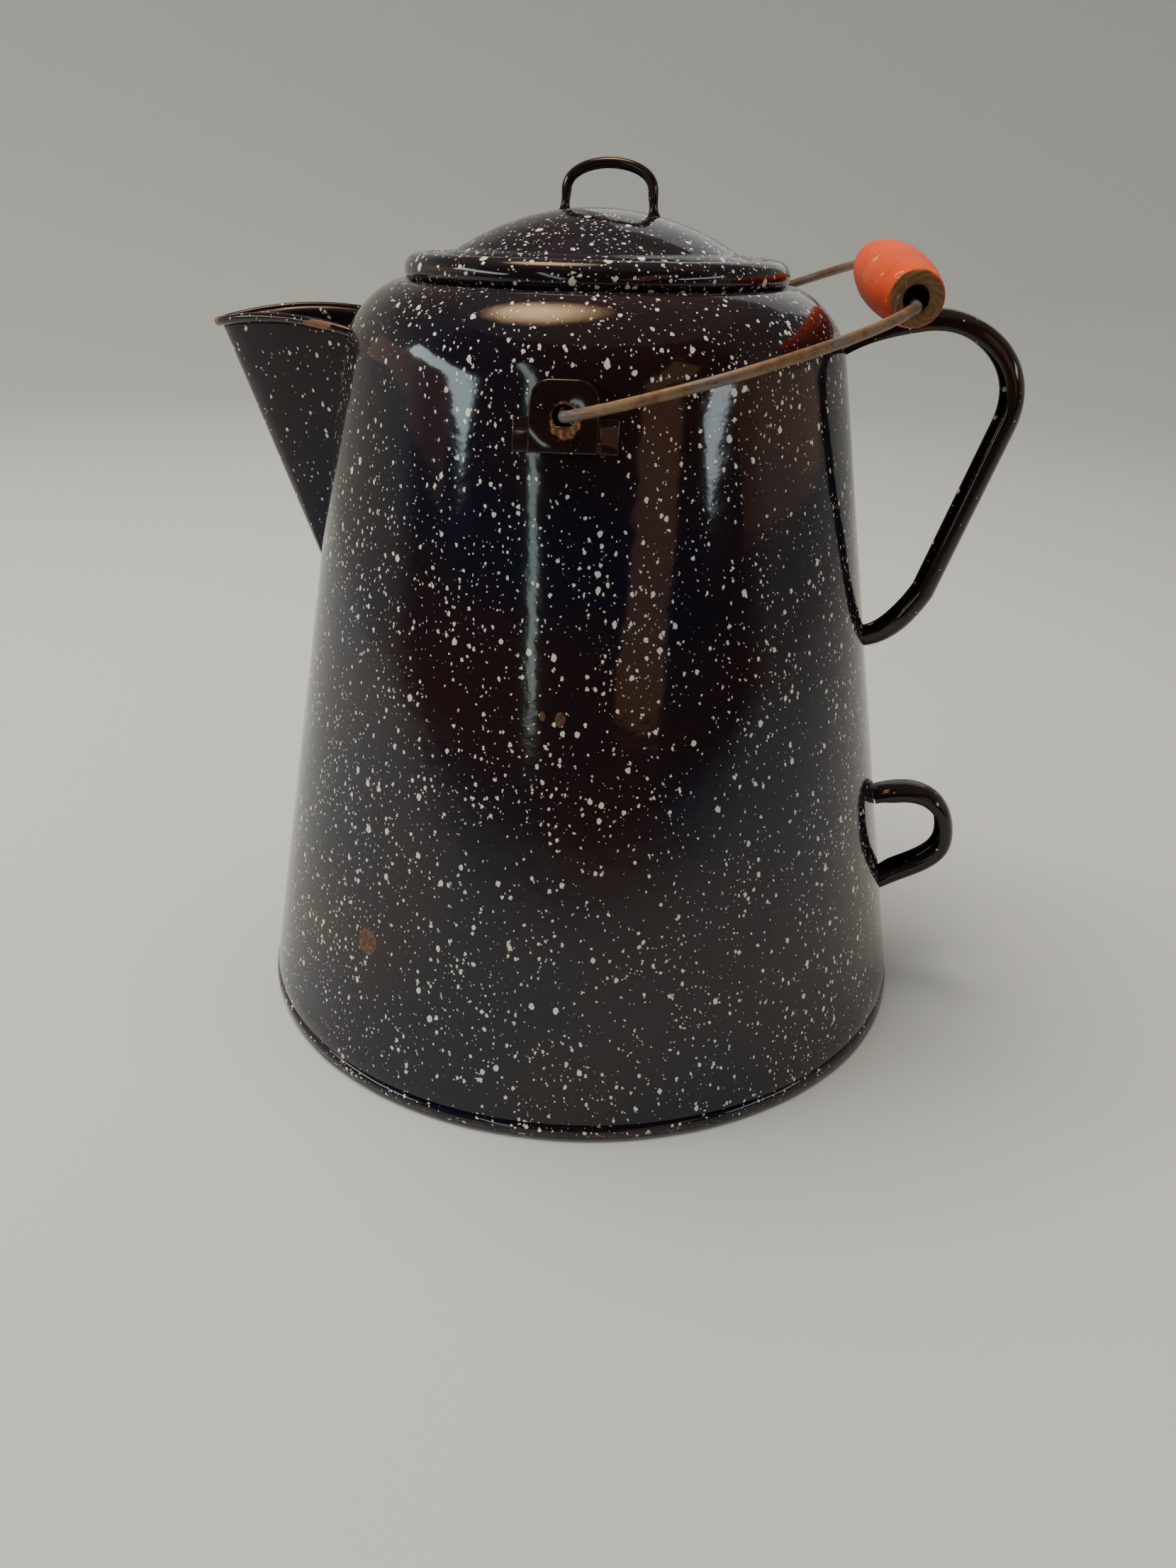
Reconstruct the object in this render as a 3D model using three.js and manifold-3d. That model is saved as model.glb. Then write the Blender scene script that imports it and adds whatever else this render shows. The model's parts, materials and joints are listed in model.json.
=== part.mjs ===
// Enamelled steel coffee percolator for camp use: a tapered pot with a seamed bottom, a wide
// V spout, a pressed channel handle, a low tilting handle, a swinging bail with a turned wooden
// grip, a domed lid, and a lift-out aluminium pump and basket.
//
// Frame: millimetres, +Z up, origin on the pot's axis at the surface it stands on.
// The handle is at +X, the spout at -X and the bail's ears at -Y and +Y.

import * as THREE from 'three';
import { mergeVertices } from 'three/addons/utils/BufferGeometryUtils.js';
import { ConvexGeometry } from 'three/addons/geometries/ConvexGeometry.js';
import Module from 'manifold-3d';

const wasm = await Module();
wasm.setup();

// ---------------------------------------------------------------- driving dimensions

const gap = 0.3; // left between two pieces that touch
const sheet = 1.0; // enamelled steel sheet, enamel included
const turns = 48; // facets round the big pressings
const fineTurns = 32; // facets round the basket and the pump's foot

// pot body
const wallFootRadius = 124.5; // outside of the cone just above the bottom seam
const wallTopRadius = 84.3; // outside of the cone where the shoulder starts
const wallTopHeight = 234.0;
const shoulderRadius = 29.4; // rounding from the cone over to the top
const shoulderEndAngle = 69; // degrees above level, where the shoulder stops
const mouthRadius = 51.2; // inside of the collar that the lid drops into
const mouthCollarDepth = 11;
const seatDrop = 2.0; // how far the lid's seat lies below the shoulder's crown

// bottom
const seamRadius = 3.1; // rolled seam round the foot
const seamProud = 0.7; // how far it stands out past the wall

// spout
const spoutReach = wallTopRadius + 45.9; // from the pot's axis to the front of the sheet at the lip
const spoutHalfWidth = 25;
const spoutFootHeight = wallTopHeight - 81.5; // where the keel meets the wall
const spoutTipHeight = wallTopHeight + 6.6;
const spoutWallHeight = wallTopHeight + 5.2; // lip height at the wall
const spoutArch = 4.4; // rise of the lip between tip and wall
const spoutTilt = 0.05; // the lip climbs by this share of its width towards +Y
const spoutLipRadius = 1.5;
const strainerHole = 5.0;
const strainerPitch = 9.5;

// lid
const crownRadius = 88; // spherical top of the dome
const crownRise = 19.3; // top of the dome above the middle of its rolled rim
const rimRadius = mouthRadius + 7.2; // to the middle of the rolled rim
const rimRoll = 4.95; // outside radius of the roll
const collarClearance = 0.5; // lid collar in the mouth, each side
const collarDrop = 21; // skirt of the lid collar

// lid handle
const lidRod = 3.4; // rod diameter
const lidLoopHalfSpan = 14.7;
const lidLoopRise = 33.8; // top of the loop above the middle of the rolled rim
const lidLoopTurn = -14; // degrees from the handle's line
const lidLoopOffset = 3.5; // welded a little off the middle

// main handle
const channelWidth = 12.7;
const channelDepth = 6.9;
const channelSheet = 1.2;
const handleTop = wallTopHeight + 18.6; // crest of the handle above the table
const handleReach = wallTopRadius + 59.3; // outside of the handle from the pot's axis
const handleFootHeight = wallTopHeight - 98.8;
const handleNeckHeight = wallTopHeight + 4.8;

// tilting handle
const strapWidth = 13.4;
const strapDepth = 6.2;
const tiltReach = wallFootRadius + 20.5;
const tiltTopHeight = 78.6;
const tiltFootHeight = 35.4;

// bail and grip
const wire = 3.2; // diameter
const pivotHeight = wallTopHeight - 8;
const gripRest = wallTopRadius + 12.958; // from the pot's axis to the wire in the resting grip
const gripRestHeight = handleTop + 6.699;
const bailReach = Math.hypot(gripRest, gripRestHeight - pivotHeight); // pivot line to the grip
const bailStretch = 0.012; // share by which the far leg is longer and the near leg shorter
const bailBow = wallTopRadius + 20.2; // widest half-width of the wire's arch
const bailLean = Math.atan2(gripRestHeight - pivotHeight, gripRest) * (180 / Math.PI); // above level
const bailSkew = 5.8; // degrees that the far leg stands higher than the near one
const gripLength = 95.5;
const gripEndDiameter = 16.4;
const gripDiameter = 22;
const gripBore = 7.6;
const wireSagNear = 1.8; // the wire lies this far below the middle of the bore at the near end
const wireSagFar = -1.6;

// ears
const earWidth = 19.6;
const earHeight = 19.6;
const earStandOff = 6.8;
const earFlangeWidth = 30.4;
const earFlangeHeight = 12.6;
const earHole = 6.6;

// lift-out pump and basket
const pumpSheet = 0.9;
const tubeDiameter = 9.6;
const tubeTop = wallTopHeight + 18;
const pumpFootRadius = mouthRadius - 7.2; // small enough to pass the mouth
const pumpFootHeight = 20;
const pumpNeckHeight = 10;
const basketFloor = wallTopHeight - 78;
const basketHeight = 78;
const basketRim = 2.2; // how far the rolled rim stands out
const basketClearance = 3.5; // the basket's rim in the mouth, each side
const basketRadius = mouthRadius - basketClearance - basketRim;
const slideClearance = 0.7; // basket and cover on the tube, each side
const perforation = 3.2;

// ---------------------------------------------------------------- materials

const enamel = { color: 0x15161c, roughness: 0.12, metalness: 0.0 };
const steel = { color: 0x8a7660, roughness: 0.5, metalness: 0.9 };
const paintedWood = { color: 0xd8572c, roughness: 0.45, metalness: 0.0 };
const aluminium = { color: 0xb9bbbd, roughness: 0.35, metalness: 0.95 };

// ---------------------------------------------------------------- helpers

const vec2 = (x, y) => new THREE.Vector2(x, y);
const vec3 = (x, y, z) => new THREE.Vector3(x, y, z);
const radians = THREE.MathUtils.degToRad;

// Points on an arc about (cx, cy), angles in degrees, both ends included.
function arc(cx, cy, radius, from, to, steps) {
  const points = [];
  for (let i = 0; i <= steps; i += 1) {
    const angle = radians(from + ((to - from) * i) / steps);
    points.push(vec2(cx + radius * Math.cos(angle), cy + radius * Math.sin(angle)));
  }
  return points;
}

// The line shifted sideways, to its left for a positive distance, with mitred corners.
function shifted(line, distance) {
  return line.map((point, i) => {
    const before = line[Math.max(i - 1, 0)];
    const after = line[Math.min(i + 1, line.length - 1)];
    const into = i > 0 ? point.clone().sub(before).normalize() : after.clone().sub(point).normalize();
    const outOf = i < line.length - 1 ? after.clone().sub(point).normalize() : into;
    const bisector = into.clone().add(outOf).normalize();
    const spread = distance / Math.max(bisector.dot(into), 0.5);
    return vec2(point.x - bisector.y * spread, point.y + bisector.x * spread);
  });
}

// Closed outline of a sheet whose outer face follows the line; its thickness is to the left.
function sheetOutline(line, thickness) {
  return [...line, ...shifted(line, thickness).reverse(), line[0].clone()];
}

// Body of revolution about Z. Outlines run anticlockwise, radius to the right and height up.
function revolve(outline, segments = turns) {
  const geometry = new THREE.LatheGeometry(outline, segments);
  geometry.rotateX(Math.PI / 2);
  return geometry;
}

// A curve that is sampled at its own knots, so a tight bend keeps all of its points.
class KnottedCurve extends THREE.CatmullRomCurve3 {
  getPointAt(u, target) {
    return this.getPoint(u, target);
  }

  getTangentAt(u, target) {
    return this.getTangent(u, target);
  }

  getSpacedPoints(divisions) {
    return this.getPoints(divisions);
  }
}

// A section swept along a row of points. On a path in the XZ plane that runs anticlockwise as
// seen from -Y, the section's x is across the path and its y points outwards.
function sweep(shape, points, curveSegments = 6) {
  const extrudePath = new KnottedCurve(points);
  const steps = points.length - 1;
  return new THREE.ExtrudeGeometry(shape, { steps, extrudePath, curveSegments });
}

function roundSection(radius, sides) {
  return new THREE.Shape(arc(0, 0, radius, 0, 360 - 360 / sides, sides - 1));
}

function solid(geometry) {
  const bare = geometry.clone();
  bare.deleteAttribute('normal');
  bare.deleteAttribute('uv');
  const merged = mergeVertices(bare, 1e-3);
  const index = merged.index.array;
  const triangles = [];
  for (let i = 0; i < index.length; i += 3) {
    const [a, b, c] = index.slice(i, i + 3);
    if (a !== b && b !== c && c !== a) triangles.push(a, b, c);
  }
  return new wasm.Manifold(new wasm.Mesh({
    numProp: 3,
    vertProperties: new Float32Array(merged.attributes.position.array),
    triVerts: new Uint32Array(triangles),
  }));
}

function geometryOf(manifold) {
  const { vertProperties, triVerts } = manifold.getMesh();
  const geometry = new THREE.BufferGeometry();
  geometry.setAttribute('position', new THREE.BufferAttribute(new Float32Array(vertProperties), 3));
  geometry.setIndex(new THREE.BufferAttribute(new Uint32Array(triVerts), 1));
  geometry.computeVertexNormals();
  return geometry;
}

function cylinder(diameter, length, sides) {
  return new THREE.CylinderGeometry(diameter / 2, diameter / 2, length, sides);
}

const percolator = new THREE.Group();

function add(name, geometry, look, parent = percolator) {
  const mesh = new THREE.Mesh(geometry, new THREE.MeshStandardMaterial(look));
  mesh.name = name;
  parent.add(mesh);
  return mesh;
}

// ---------------------------------------------------------------- pot body

const seamTop = 2 * seamRadius;
const footHeight = seamTop + gap;
const taper = Math.atan2(wallFootRadius - wallTopRadius, wallTopHeight - footHeight);
const taperDegrees = THREE.MathUtils.radToDeg(taper);

// outside radius of the wall at a height
const wallRadius = (height) => wallFootRadius - (height - footHeight) * Math.tan(taper);

const shoulderCentre = vec2(
  wallTopRadius - shoulderRadius * Math.cos(taper),
  wallTopHeight - shoulderRadius * Math.sin(taper),
);
const shoulderLine = arc(
  shoulderCentre.x, shoulderCentre.y, shoulderRadius, taperDegrees, shoulderEndAngle, 6,
);
const crown = shoulderLine.at(-1);
const seatHeight = crown.y - seatDrop;

const seatBend = 2;
const mouthLine = [
  vec2(crown.x - 1.5, crown.y + 0.1),
  vec2(crown.x - 3.1, crown.y - 0.45 * seatDrop),
  vec2(crown.x - 4.7, seatHeight),
  ...arc(mouthRadius + seatBend, seatHeight - seatBend, seatBend, 90, 180, 2),
  vec2(mouthRadius, seatHeight - mouthCollarDepth),
];

const seamCentre = wallFootRadius + seamProud - seamRadius;
const flangeEdge = seamCentre - seamRadius + 0.4; // inner edge of the body's foot flange
const bodyLine = [
  vec2(flangeEdge, footHeight), vec2(wallFootRadius, footHeight), ...shoulderLine, ...mouthLine,
];

// everything inside the outer face, grown by the gap: pieces joined to the wall stop here
const keepOutLine = shifted([vec2(wallRadius(0), 0), ...shoulderLine], -gap);
const keepOut = solid(revolve([
  vec2(0, -5), vec2(keepOutLine[0].x, -5), ...keepOutLine, vec2(0, keepOutLine.at(-1).y),
]));

// strainer: staggered rows of holes through the wall behind the spout, fewer towards its foot
function strainerHoles() {
  const tools = [];
  const rows = 7;
  for (let row = 0; row < rows; row += 1) {
    const height = spoutFootHeight + 16 + row * strainerPitch * 0.87;
    const share = (height - spoutFootHeight) / (spoutWallHeight - spoutFootHeight);
    const room = spoutHalfWidth * share - strainerHole;
    const count = Math.max(1, 2 * Math.floor(room / strainerPitch + (row % 2) / 2) + 1 - (row % 2));
    for (let i = 0; i < count; i += 1) {
      const drill = cylinder(strainerHole, 12, 8);
      drill.rotateZ(Math.PI / 2);
      drill.rotateY(-taper);
      drill.translate(-wallRadius(height), (i - (count - 1) / 2) * strainerPitch, height);
      tools.push(solid(drill));
    }
  }
  return tools;
}

let body = solid(revolve(sheetOutline(bodyLine, sheet)));
for (const hole of strainerHoles()) body = body.subtract(hole);
add('body_shell', geometryOf(body), enamel);

// ---------------------------------------------------------------- bottom pan with rolled seam

const panLine = [
  vec2(0, 0),
  vec2(seamCentre, 0),
  ...arc(seamCentre, seamRadius, seamRadius, -60, 200, 8),
  vec2(seamCentre - seamRadius - 0.6, sheet),
  vec2(0, sheet),
];
add('bottom_pan', revolve(panLine), enamel);

// ---------------------------------------------------------------- spout

const spoutInnerX = 70; // the spout's solids run into the pot as far as this, then are cut back
const spoutFoot = vec3(-wallRadius(spoutFootHeight), 0, spoutFootHeight);

// A point of the lip, from the tip (0) to inside the wall (1), side -1 or 1.
function lipPoint(along, side, inset) {
  const x = -(spoutReach - inset - along * (spoutReach - inset - spoutInnerX));
  const y = side * (spoutHalfWidth - inset) * along ** 0.55;
  const level = spoutTipHeight + (spoutWallHeight - spoutTipHeight) * along;
  return vec3(x, y, level + 4 * spoutArch * along * (1 - along) + spoutTilt * y);
}

// Convex solid between the lip and the foot of the keel, its lip pushed up by a share.
function spoutWedge(inset, overshoot) {
  const foot = spoutFoot.clone().add(vec3(inset * 1.1, 0, inset * 2.4));
  const points = [];
  const steps = 12;
  for (const side of [-1, 1]) {
    for (let i = 0; i <= steps; i += 1) {
      const lip = lipPoint((i / steps) ** 1.4, side, inset);
      points.push(lip.sub(foot).multiplyScalar(1 + overshoot).add(foot));
    }
    points.push(foot.clone().add(vec3(2, side * 2.2 * (1 - inset * 0.3), 1)));
    points.push(foot.clone().add(vec3(30, side * 2.2, 0)));
  }
  points.push(foot);
  return solid(new ConvexGeometry(points));
}

function lipBead() {
  const near = [];
  const far = [];
  const steps = 14;
  for (let i = 0; i <= steps; i += 1) {
    const along = (i / steps) ** 1.7;
    near.push(lipPoint(along, -1, -spoutLipRadius * 0.7));
    if (i > 0) far.push(lipPoint(along, 1, -spoutLipRadius * 0.7));
  }
  return solid(sweep(roundSection(spoutLipRadius, 8), [...near.reverse(), ...far]));
}

const spout = spoutWedge(0, 0).subtract(spoutWedge(sheet, 0.15)).add(lipBead()).subtract(keepOut);
add('spout', geometryOf(spout), enamel);

// ---------------------------------------------------------------- lid

const rimHeight = seatHeight + gap + rimRoll; // middle of the rolled rim
const crownHeight = rimHeight + crownRise;
const valley = vec2(rimRadius - 5.4, rimHeight + 3.6); // where the dome flares out to the rim
const domeEdge = valley.x - 6;
const domeEdgeAngle = THREE.MathUtils.radToDeg(Math.acos(domeEdge / crownRadius));

const collarOuter = mouthRadius - collarClearance;
const collarTop = valley.y - sheet - gap;
const rollEnd = THREE.MathUtils.radToDeg(Math.asin((collarTop - sheet - gap - rimHeight) / rimRoll));

// outer face, from the end of the roll outwards, over the rim and in to the middle of the dome
const lidLine = [
  ...arc(rimRadius, rimHeight, rimRoll, 180 - rollEnd, 485, 11),
  valley,
  vec2(valley.x - 2.6, valley.y + 0.9),
  ...arc(0, crownHeight - crownRadius, crownRadius, domeEdgeAngle, 90, 5),
];
const lidInner = shifted(lidLine, sheet).reverse();
lidInner[0].x = 0;
lidLine.at(-1).x = 0;
const lidOutline = [...lidInner, ...lidLine];
const lid = new THREE.Group();
percolator.add(lid);
add('lid_dome', revolve(lidOutline), enamel, lid);

// collar held in the rolled rim, with the skirt that drops into the mouth
const collarLine = [
  vec2(collarOuter, collarTop - collarDrop),
  vec2(collarOuter, collarTop - sheet),
  vec2(rimRadius - 2.6, collarTop - sheet),
  vec2(rimRadius - 2.6, collarTop),
  vec2(collarOuter - sheet, collarTop),
  vec2(collarOuter - sheet, collarTop - collarDrop),
];
add('lid_collar', revolve([...collarLine, collarLine[0].clone()]), enamel, lid);

// ---------------------------------------------------------------- lid handle

const loopTop = rimHeight + lidLoopRise - lidRod / 2;
const loopShoulder = loopTop - 7.7;
const loopArch = new THREE.CubicBezierCurve3(
  vec3(lidLoopHalfSpan, 0, loopShoulder),
  vec3(lidLoopHalfSpan - 0.3, 0, loopTop + (loopTop - loopShoulder) / 3),
  vec3(-lidLoopHalfSpan + 0.3, 0, loopTop + (loopTop - loopShoulder) / 3),
  vec3(-lidLoopHalfSpan, 0, loopShoulder),
);
const loopFootHeight = crownHeight - 6;
const loopPoints = [
  vec3(lidLoopHalfSpan + 0.5, 0, loopFootHeight),
  ...loopArch.getPoints(14),
  vec3(-lidLoopHalfSpan - 0.5, 0, loopFootHeight),
];
const loopSolid = sweep(roundSection(lidRod / 2, 10), loopPoints);
loopSolid.translate(lidLoopOffset, 0, 0);
loopSolid.rotateZ(radians(lidLoopTurn));
const domeKeepOut = solid(revolve([
  vec2(0, crownHeight - 40),
  vec2(60, crownHeight - 40),
  ...arc(0, crownHeight - crownRadius, crownRadius + gap, domeEdgeAngle, 90, 12),
]));
add('lid_handle', geometryOf(solid(loopSolid).subtract(domeKeepOut)), enamel, lid);

// ---------------------------------------------------------------- main handle

// U channel, open towards the pot; its crest lies on the path
function channelSection(width, depth, thickness, crownDepth) {
  const shape = new THREE.Shape();
  const side = width / 2;
  const inner = side - thickness;
  shape.moveTo(-side, -depth);
  shape.lineTo(-inner, -depth);
  shape.lineTo(-inner, -crownDepth);
  shape.absellipse(0, -crownDepth, inner, crownDepth - thickness, Math.PI, 0, true);
  shape.lineTo(inner, -depth);
  shape.lineTo(side, -depth);
  shape.lineTo(side, -crownDepth);
  shape.absellipse(0, -crownDepth, side, crownDepth, 0, Math.PI, false);
  return shape;
}

// Narrows a channel towards the wall, over the last part of its length.
function pinch(geometry, share, length) {
  const position = geometry.attributes.position;
  for (let i = 0; i < position.count; i += 1) {
    const height = position.getZ(i);
    const stand = position.getX(i) - wallRadius(Math.min(height, wallTopHeight));
    const near = 1 - THREE.MathUtils.smoothstep(stand, 0, length);
    position.setY(i, position.getY(i) * (1 - share * near));
  }
  return geometry;
}

const handleFoot = vec3(wallRadius(handleFootHeight) - 2, 0, handleFootHeight);
const runStart = vec3(handleReach - 19.8, 0, handleFootHeight + 20.0);
const runEnd = vec3(handleReach - 1.4, 0, handleTop - 40.6);
const neckStart = vec3(handleReach - 36, 0, handleTop - 1.6);
const handleNeck = vec3(wallTopRadius - 3, 0, handleNeckHeight - 1);
const footBend = new THREE.QuadraticBezierCurve3(
  handleFoot, vec3(handleFoot.x + 14.2, 0, handleFootHeight + 1.4), runStart,
);
const topBend = new THREE.CubicBezierCurve3(
  runEnd, vec3(runEnd.x + 10, 0, runEnd.z + 27.6), vec3(neckStart.x + 15, 0, neckStart.z + 4.4), neckStart,
);
const neckBend = new THREE.QuadraticBezierCurve3(
  neckStart, vec3(neckStart.x - 11, 0, neckStart.z - 3.2), handleNeck,
);
const handlePoints = [
  ...footBend.getPoints(8),
  ...topBend.getPoints(18),
  ...neckBend.getPoints(6).slice(1),
];
const handleChannel = pinch(
  sweep(channelSection(channelWidth, channelDepth, channelSheet, 4.2), handlePoints, 3), 0.5, 24,
);

// the flanges are cut away at a slant under the neck, where the channel closes to its weld
const flangeCut = new THREE.BoxGeometry(40, 2 * channelWidth, 20);
flangeCut.translate(10, 0, -10);
flangeCut.rotateY(radians(-18));
flangeCut.translate(wallTopRadius, 0, handleNeckHeight - 3.4);
const mainHandle = solid(handleChannel).subtract(keepOut).subtract(solid(flangeCut));
add('main_handle', geometryOf(mainHandle), enamel);

// ---------------------------------------------------------------- tilting handle

const tiltSpan = tiltTopHeight - tiltFootHeight;
const tiltMiddle = vec3(tiltReach, 0, tiltFootHeight + 0.61 * tiltSpan);
const tiltTop = vec3(wallRadius(tiltTopHeight) - 2, 0, tiltTopHeight - 0.8);
const tiltFoot = vec3(wallRadius(tiltFootHeight) - 2, 0, tiltFootHeight - 1);
const tiltLower = new THREE.CubicBezierCurve3(
  tiltFoot,
  vec3(tiltFoot.x + 16.4, 0, tiltFoot.z + 9),
  vec3(tiltReach + 1.9, 0, tiltMiddle.z - 15),
  tiltMiddle,
);
const tiltUpper = new THREE.CubicBezierCurve3(
  tiltMiddle,
  vec3(tiltReach - 2.4, 0, tiltMiddle.z + 20),
  vec3(tiltTop.x + 15.6, 0, tiltTop.z + 7),
  tiltTop,
);
const tiltPoints = [...tiltLower.getPoints(10), ...tiltUpper.getPoints(10).slice(1)];
const tiltStrap = sweep(channelSection(strapWidth, strapDepth, channelSheet, 3.8), tiltPoints, 3);
add('tilt_handle', geometryOf(solid(tiltStrap).subtract(keepOut)), enamel);

// ---------------------------------------------------------------- bail ears

// Half-box pressing on the wall: a raised plate with a rounded top and a flange on each side.
function ear() {
  const stand = wallRadius(pivotHeight) + earStandOff;
  const foot = -earHeight / 2;
  const slab = (width, low, high, radius, near, far) => {
    const side = width / 2;
    const spring = high - radius; // where the rounded top corners start
    const shape = new THREE.Shape();
    shape.moveTo(-side, low);
    shape.lineTo(side, low);
    shape.lineTo(side, spring);
    shape.absarc(side - radius, spring, radius, 0, Math.PI / 2, false);
    shape.absarc(radius - side, spring, radius, Math.PI / 2, Math.PI, false);
    const depth = far - near;
    const block = new THREE.ExtrudeGeometry(shape, { depth, bevelEnabled: false, curveSegments: 4 });
    block.rotateX(Math.PI / 2); // the outline stands in XZ and the depth runs towards -Y
    block.translate(0, stand - near, 0);
    block.rotateX(-taper); // parallel to the wall
    block.translate(0, -stand, pivotHeight);
    return block;
  };
  const outer = solid(slab(earWidth, foot, foot + earHeight, 6, stand - 14, stand));
  const pocket = solid(slab(
    earWidth - 2 * channelSheet, foot - 2, foot + earHeight - channelSheet, 5,
    stand - 20, stand - channelSheet,
  ));
  const bandLow = pivotHeight + foot;
  const bandHigh = bandLow + earFlangeHeight;
  const bandFace = channelSheet + gap; // the flange's outer face, off the wall
  const flangeBand = solid(revolve([
    vec2(wallRadius(bandLow) - 3, bandLow),
    vec2(wallRadius(bandLow) + bandFace, bandLow),
    vec2(wallRadius(bandHigh) + bandFace, bandHigh),
    vec2(wallRadius(bandHigh) - 3, bandHigh),
    vec2(wallRadius(bandLow) - 3, bandLow),
  ]));
  const flangeBlock = new THREE.BoxGeometry(earFlangeWidth, 40, 60);
  flangeBlock.translate(0, -wallRadius(pivotHeight), pivotHeight);
  const flange = flangeBand.intersect(solid(flangeBlock));
  const hole = cylinder(earHole, 8, 12);
  hole.translate(0, -stand, pivotHeight);
  return outer.add(flange).subtract(pocket).subtract(solid(hole)).subtract(keepOut);
}

for (const [name, halfTurn] of [['bail_ear_near', 0], ['bail_ear_far', Math.PI]]) {
  const geometry = geometryOf(ear());
  geometry.rotateZ(halfTurn);
  add(name, geometry, enamel);
}

// ---------------------------------------------------------------- bail wire and grip

const earFace = wallRadius(pivotHeight) + earStandOff;
const legStart = earFace + wire / 2 + 1.2; // the leg's half-width where it leaves the ear
const gripEnd = gripLength / 2;
const axleCorner = gripEnd + wire / 2 + 2.2; // where the wire turns into the grip

// A point of the bail: reach from the pivot line, half-width, side of the pot.
function bailPoint(reach, width, side) {
  const share = (side * Math.min(width, axleCorner)) / axleCorner; // -1 on the near leg, 1 on the far one
  const lean = radians(bailLean + (share * bailSkew) / 2);
  const length = reach * (1 + share * bailStretch);
  return vec3(length * Math.cos(lean), side * width, pivotHeight + length * Math.sin(lean));
}

// The wire's centre line on one side, from inside the ear to the middle of the grip.
function bailSide(side) {
  const legEnd = axleCorner + 2.2;
  const leg = new THREE.CubicBezierCurve(
    vec2(3, legStart),
    vec2(0.34 * bailReach, bailBow + 9.5),
    vec2(0.8 * bailReach, bailBow - 2),
    vec2(bailReach - 2.4, legEnd),
  );
  const line = [
    vec2(0, earFace - 4.6),
    vec2(0, earFace - 1.2),
    vec2(0, legStart - 2.6),
    vec2(0.9, legStart - 0.7),
    ...leg.getPoints(12),
    vec2(bailReach - 0.7, axleCorner + 0.5),
    vec2(bailReach, axleCorner - 1.6),
    vec2(bailReach, axleCorner - 4),
  ];
  return line.map((point) => bailPoint(point.x, point.y, side));
}

const bailPoints = [...bailSide(-1), ...bailSide(1).reverse()];
add('bail_wire', sweep(roundSection(wire / 2, 8), bailPoints), steel);

const gripNear = bailPoint(bailReach, gripEnd, -1).add(vec3(0, 0, wireSagNear));
const gripFar = bailPoint(bailReach, gripEnd, 1).add(vec3(0, 0, wireSagFar));
const gripBarrel = [];
const barrelSteps = 8;
for (let i = 0; i <= barrelSteps; i += 1) {
  const along = (2 * i) / barrelSteps - 1;
  const swell = (gripDiameter - gripEndDiameter) * (1 - Math.abs(along) ** 2.2);
  gripBarrel.push(vec2((gripEndDiameter + swell) / 2, along * gripEnd));
}
const gripOutline = [
  vec2(gripBore / 2, -gripEnd), ...gripBarrel, vec2(gripBore / 2, gripEnd), vec2(gripBore / 2, -gripEnd),
];
const grip = add('bail_grip', new THREE.LatheGeometry(gripOutline, 24), paintedWood);
grip.quaternion.setFromUnitVectors(vec3(0, 1, 0), gripFar.clone().sub(gripNear).normalize());
grip.position.copy(gripNear).add(gripFar).multiplyScalar(0.5);

// ---------------------------------------------------------------- lift-out pump

const pump = new THREE.Group();
percolator.add(pump);
const tubeRadius = tubeDiameter / 2;
const pumpBase = sheet + gap; // stands on the bottom pan
const neckRadius = tubeRadius + gap + pumpSheet;
const pumpFootLine = [
  vec2(pumpFootRadius, pumpBase),
  vec2(pumpFootRadius, pumpBase + 3),
  vec2(pumpFootRadius * 0.72, pumpBase + pumpFootHeight * 0.55),
  vec2(neckRadius + 4, pumpBase + pumpFootHeight - 1.5),
  vec2(neckRadius, pumpBase + pumpFootHeight + 1.5),
  vec2(neckRadius, pumpBase + pumpFootHeight + pumpNeckHeight),
];
let pumpFoot = solid(revolve(sheetOutline(pumpFootLine, pumpSheet), fineTurns));
const inlets = 6;
for (let i = 0; i < inlets; i += 1) {
  const inlet = new THREE.CylinderGeometry(2.2, 2.2, 12, 8);
  inlet.rotateZ(Math.PI / 2);
  inlet.translate(pumpFootRadius, 0, pumpBase + 0.6);
  inlet.rotateZ((2 * Math.PI * (i + 0.5)) / inlets);
  pumpFoot = pumpFoot.subtract(solid(inlet));
}
add('pump_foot', geometryOf(pumpFoot), aluminium, pump);

const tubeBottom = pumpBase + pumpFootHeight - 2;
const tubeLine = [vec2(tubeRadius, tubeBottom), vec2(tubeRadius, tubeTop)];
add('pump_tube', revolve(sheetOutline(tubeLine, pumpSheet), 20), aluminium, pump);

// crimped ring that carries the basket
const stopThickness = 3;
const stopTop = basketFloor - gap;
const stopInner = tubeRadius + gap;
const stopOuter = tubeRadius + 3.6;
add('basket_stop', revolve([
  vec2(stopInner, stopTop - stopThickness),
  vec2(stopOuter, stopTop - stopThickness),
  vec2(stopOuter, stopTop),
  vec2(stopInner, stopTop),
  vec2(stopInner, stopTop - stopThickness),
], 24), aluminium, pump);

// ---------------------------------------------------------------- basket and its cover

// Holes straight down through a round floor, in rings.
function perforate(plate, rings, height) {
  let result = plate;
  for (const [radius, count] of rings) {
    for (let i = 0; i < count; i += 1) {
      const drill = cylinder(perforation, 12, 6);
      drill.rotateX(Math.PI / 2);
      drill.translate(radius, 0, height);
      drill.rotateZ((2 * Math.PI * i) / count);
      result = result.subtract(solid(drill));
    }
  }
  return result;
}

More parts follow.
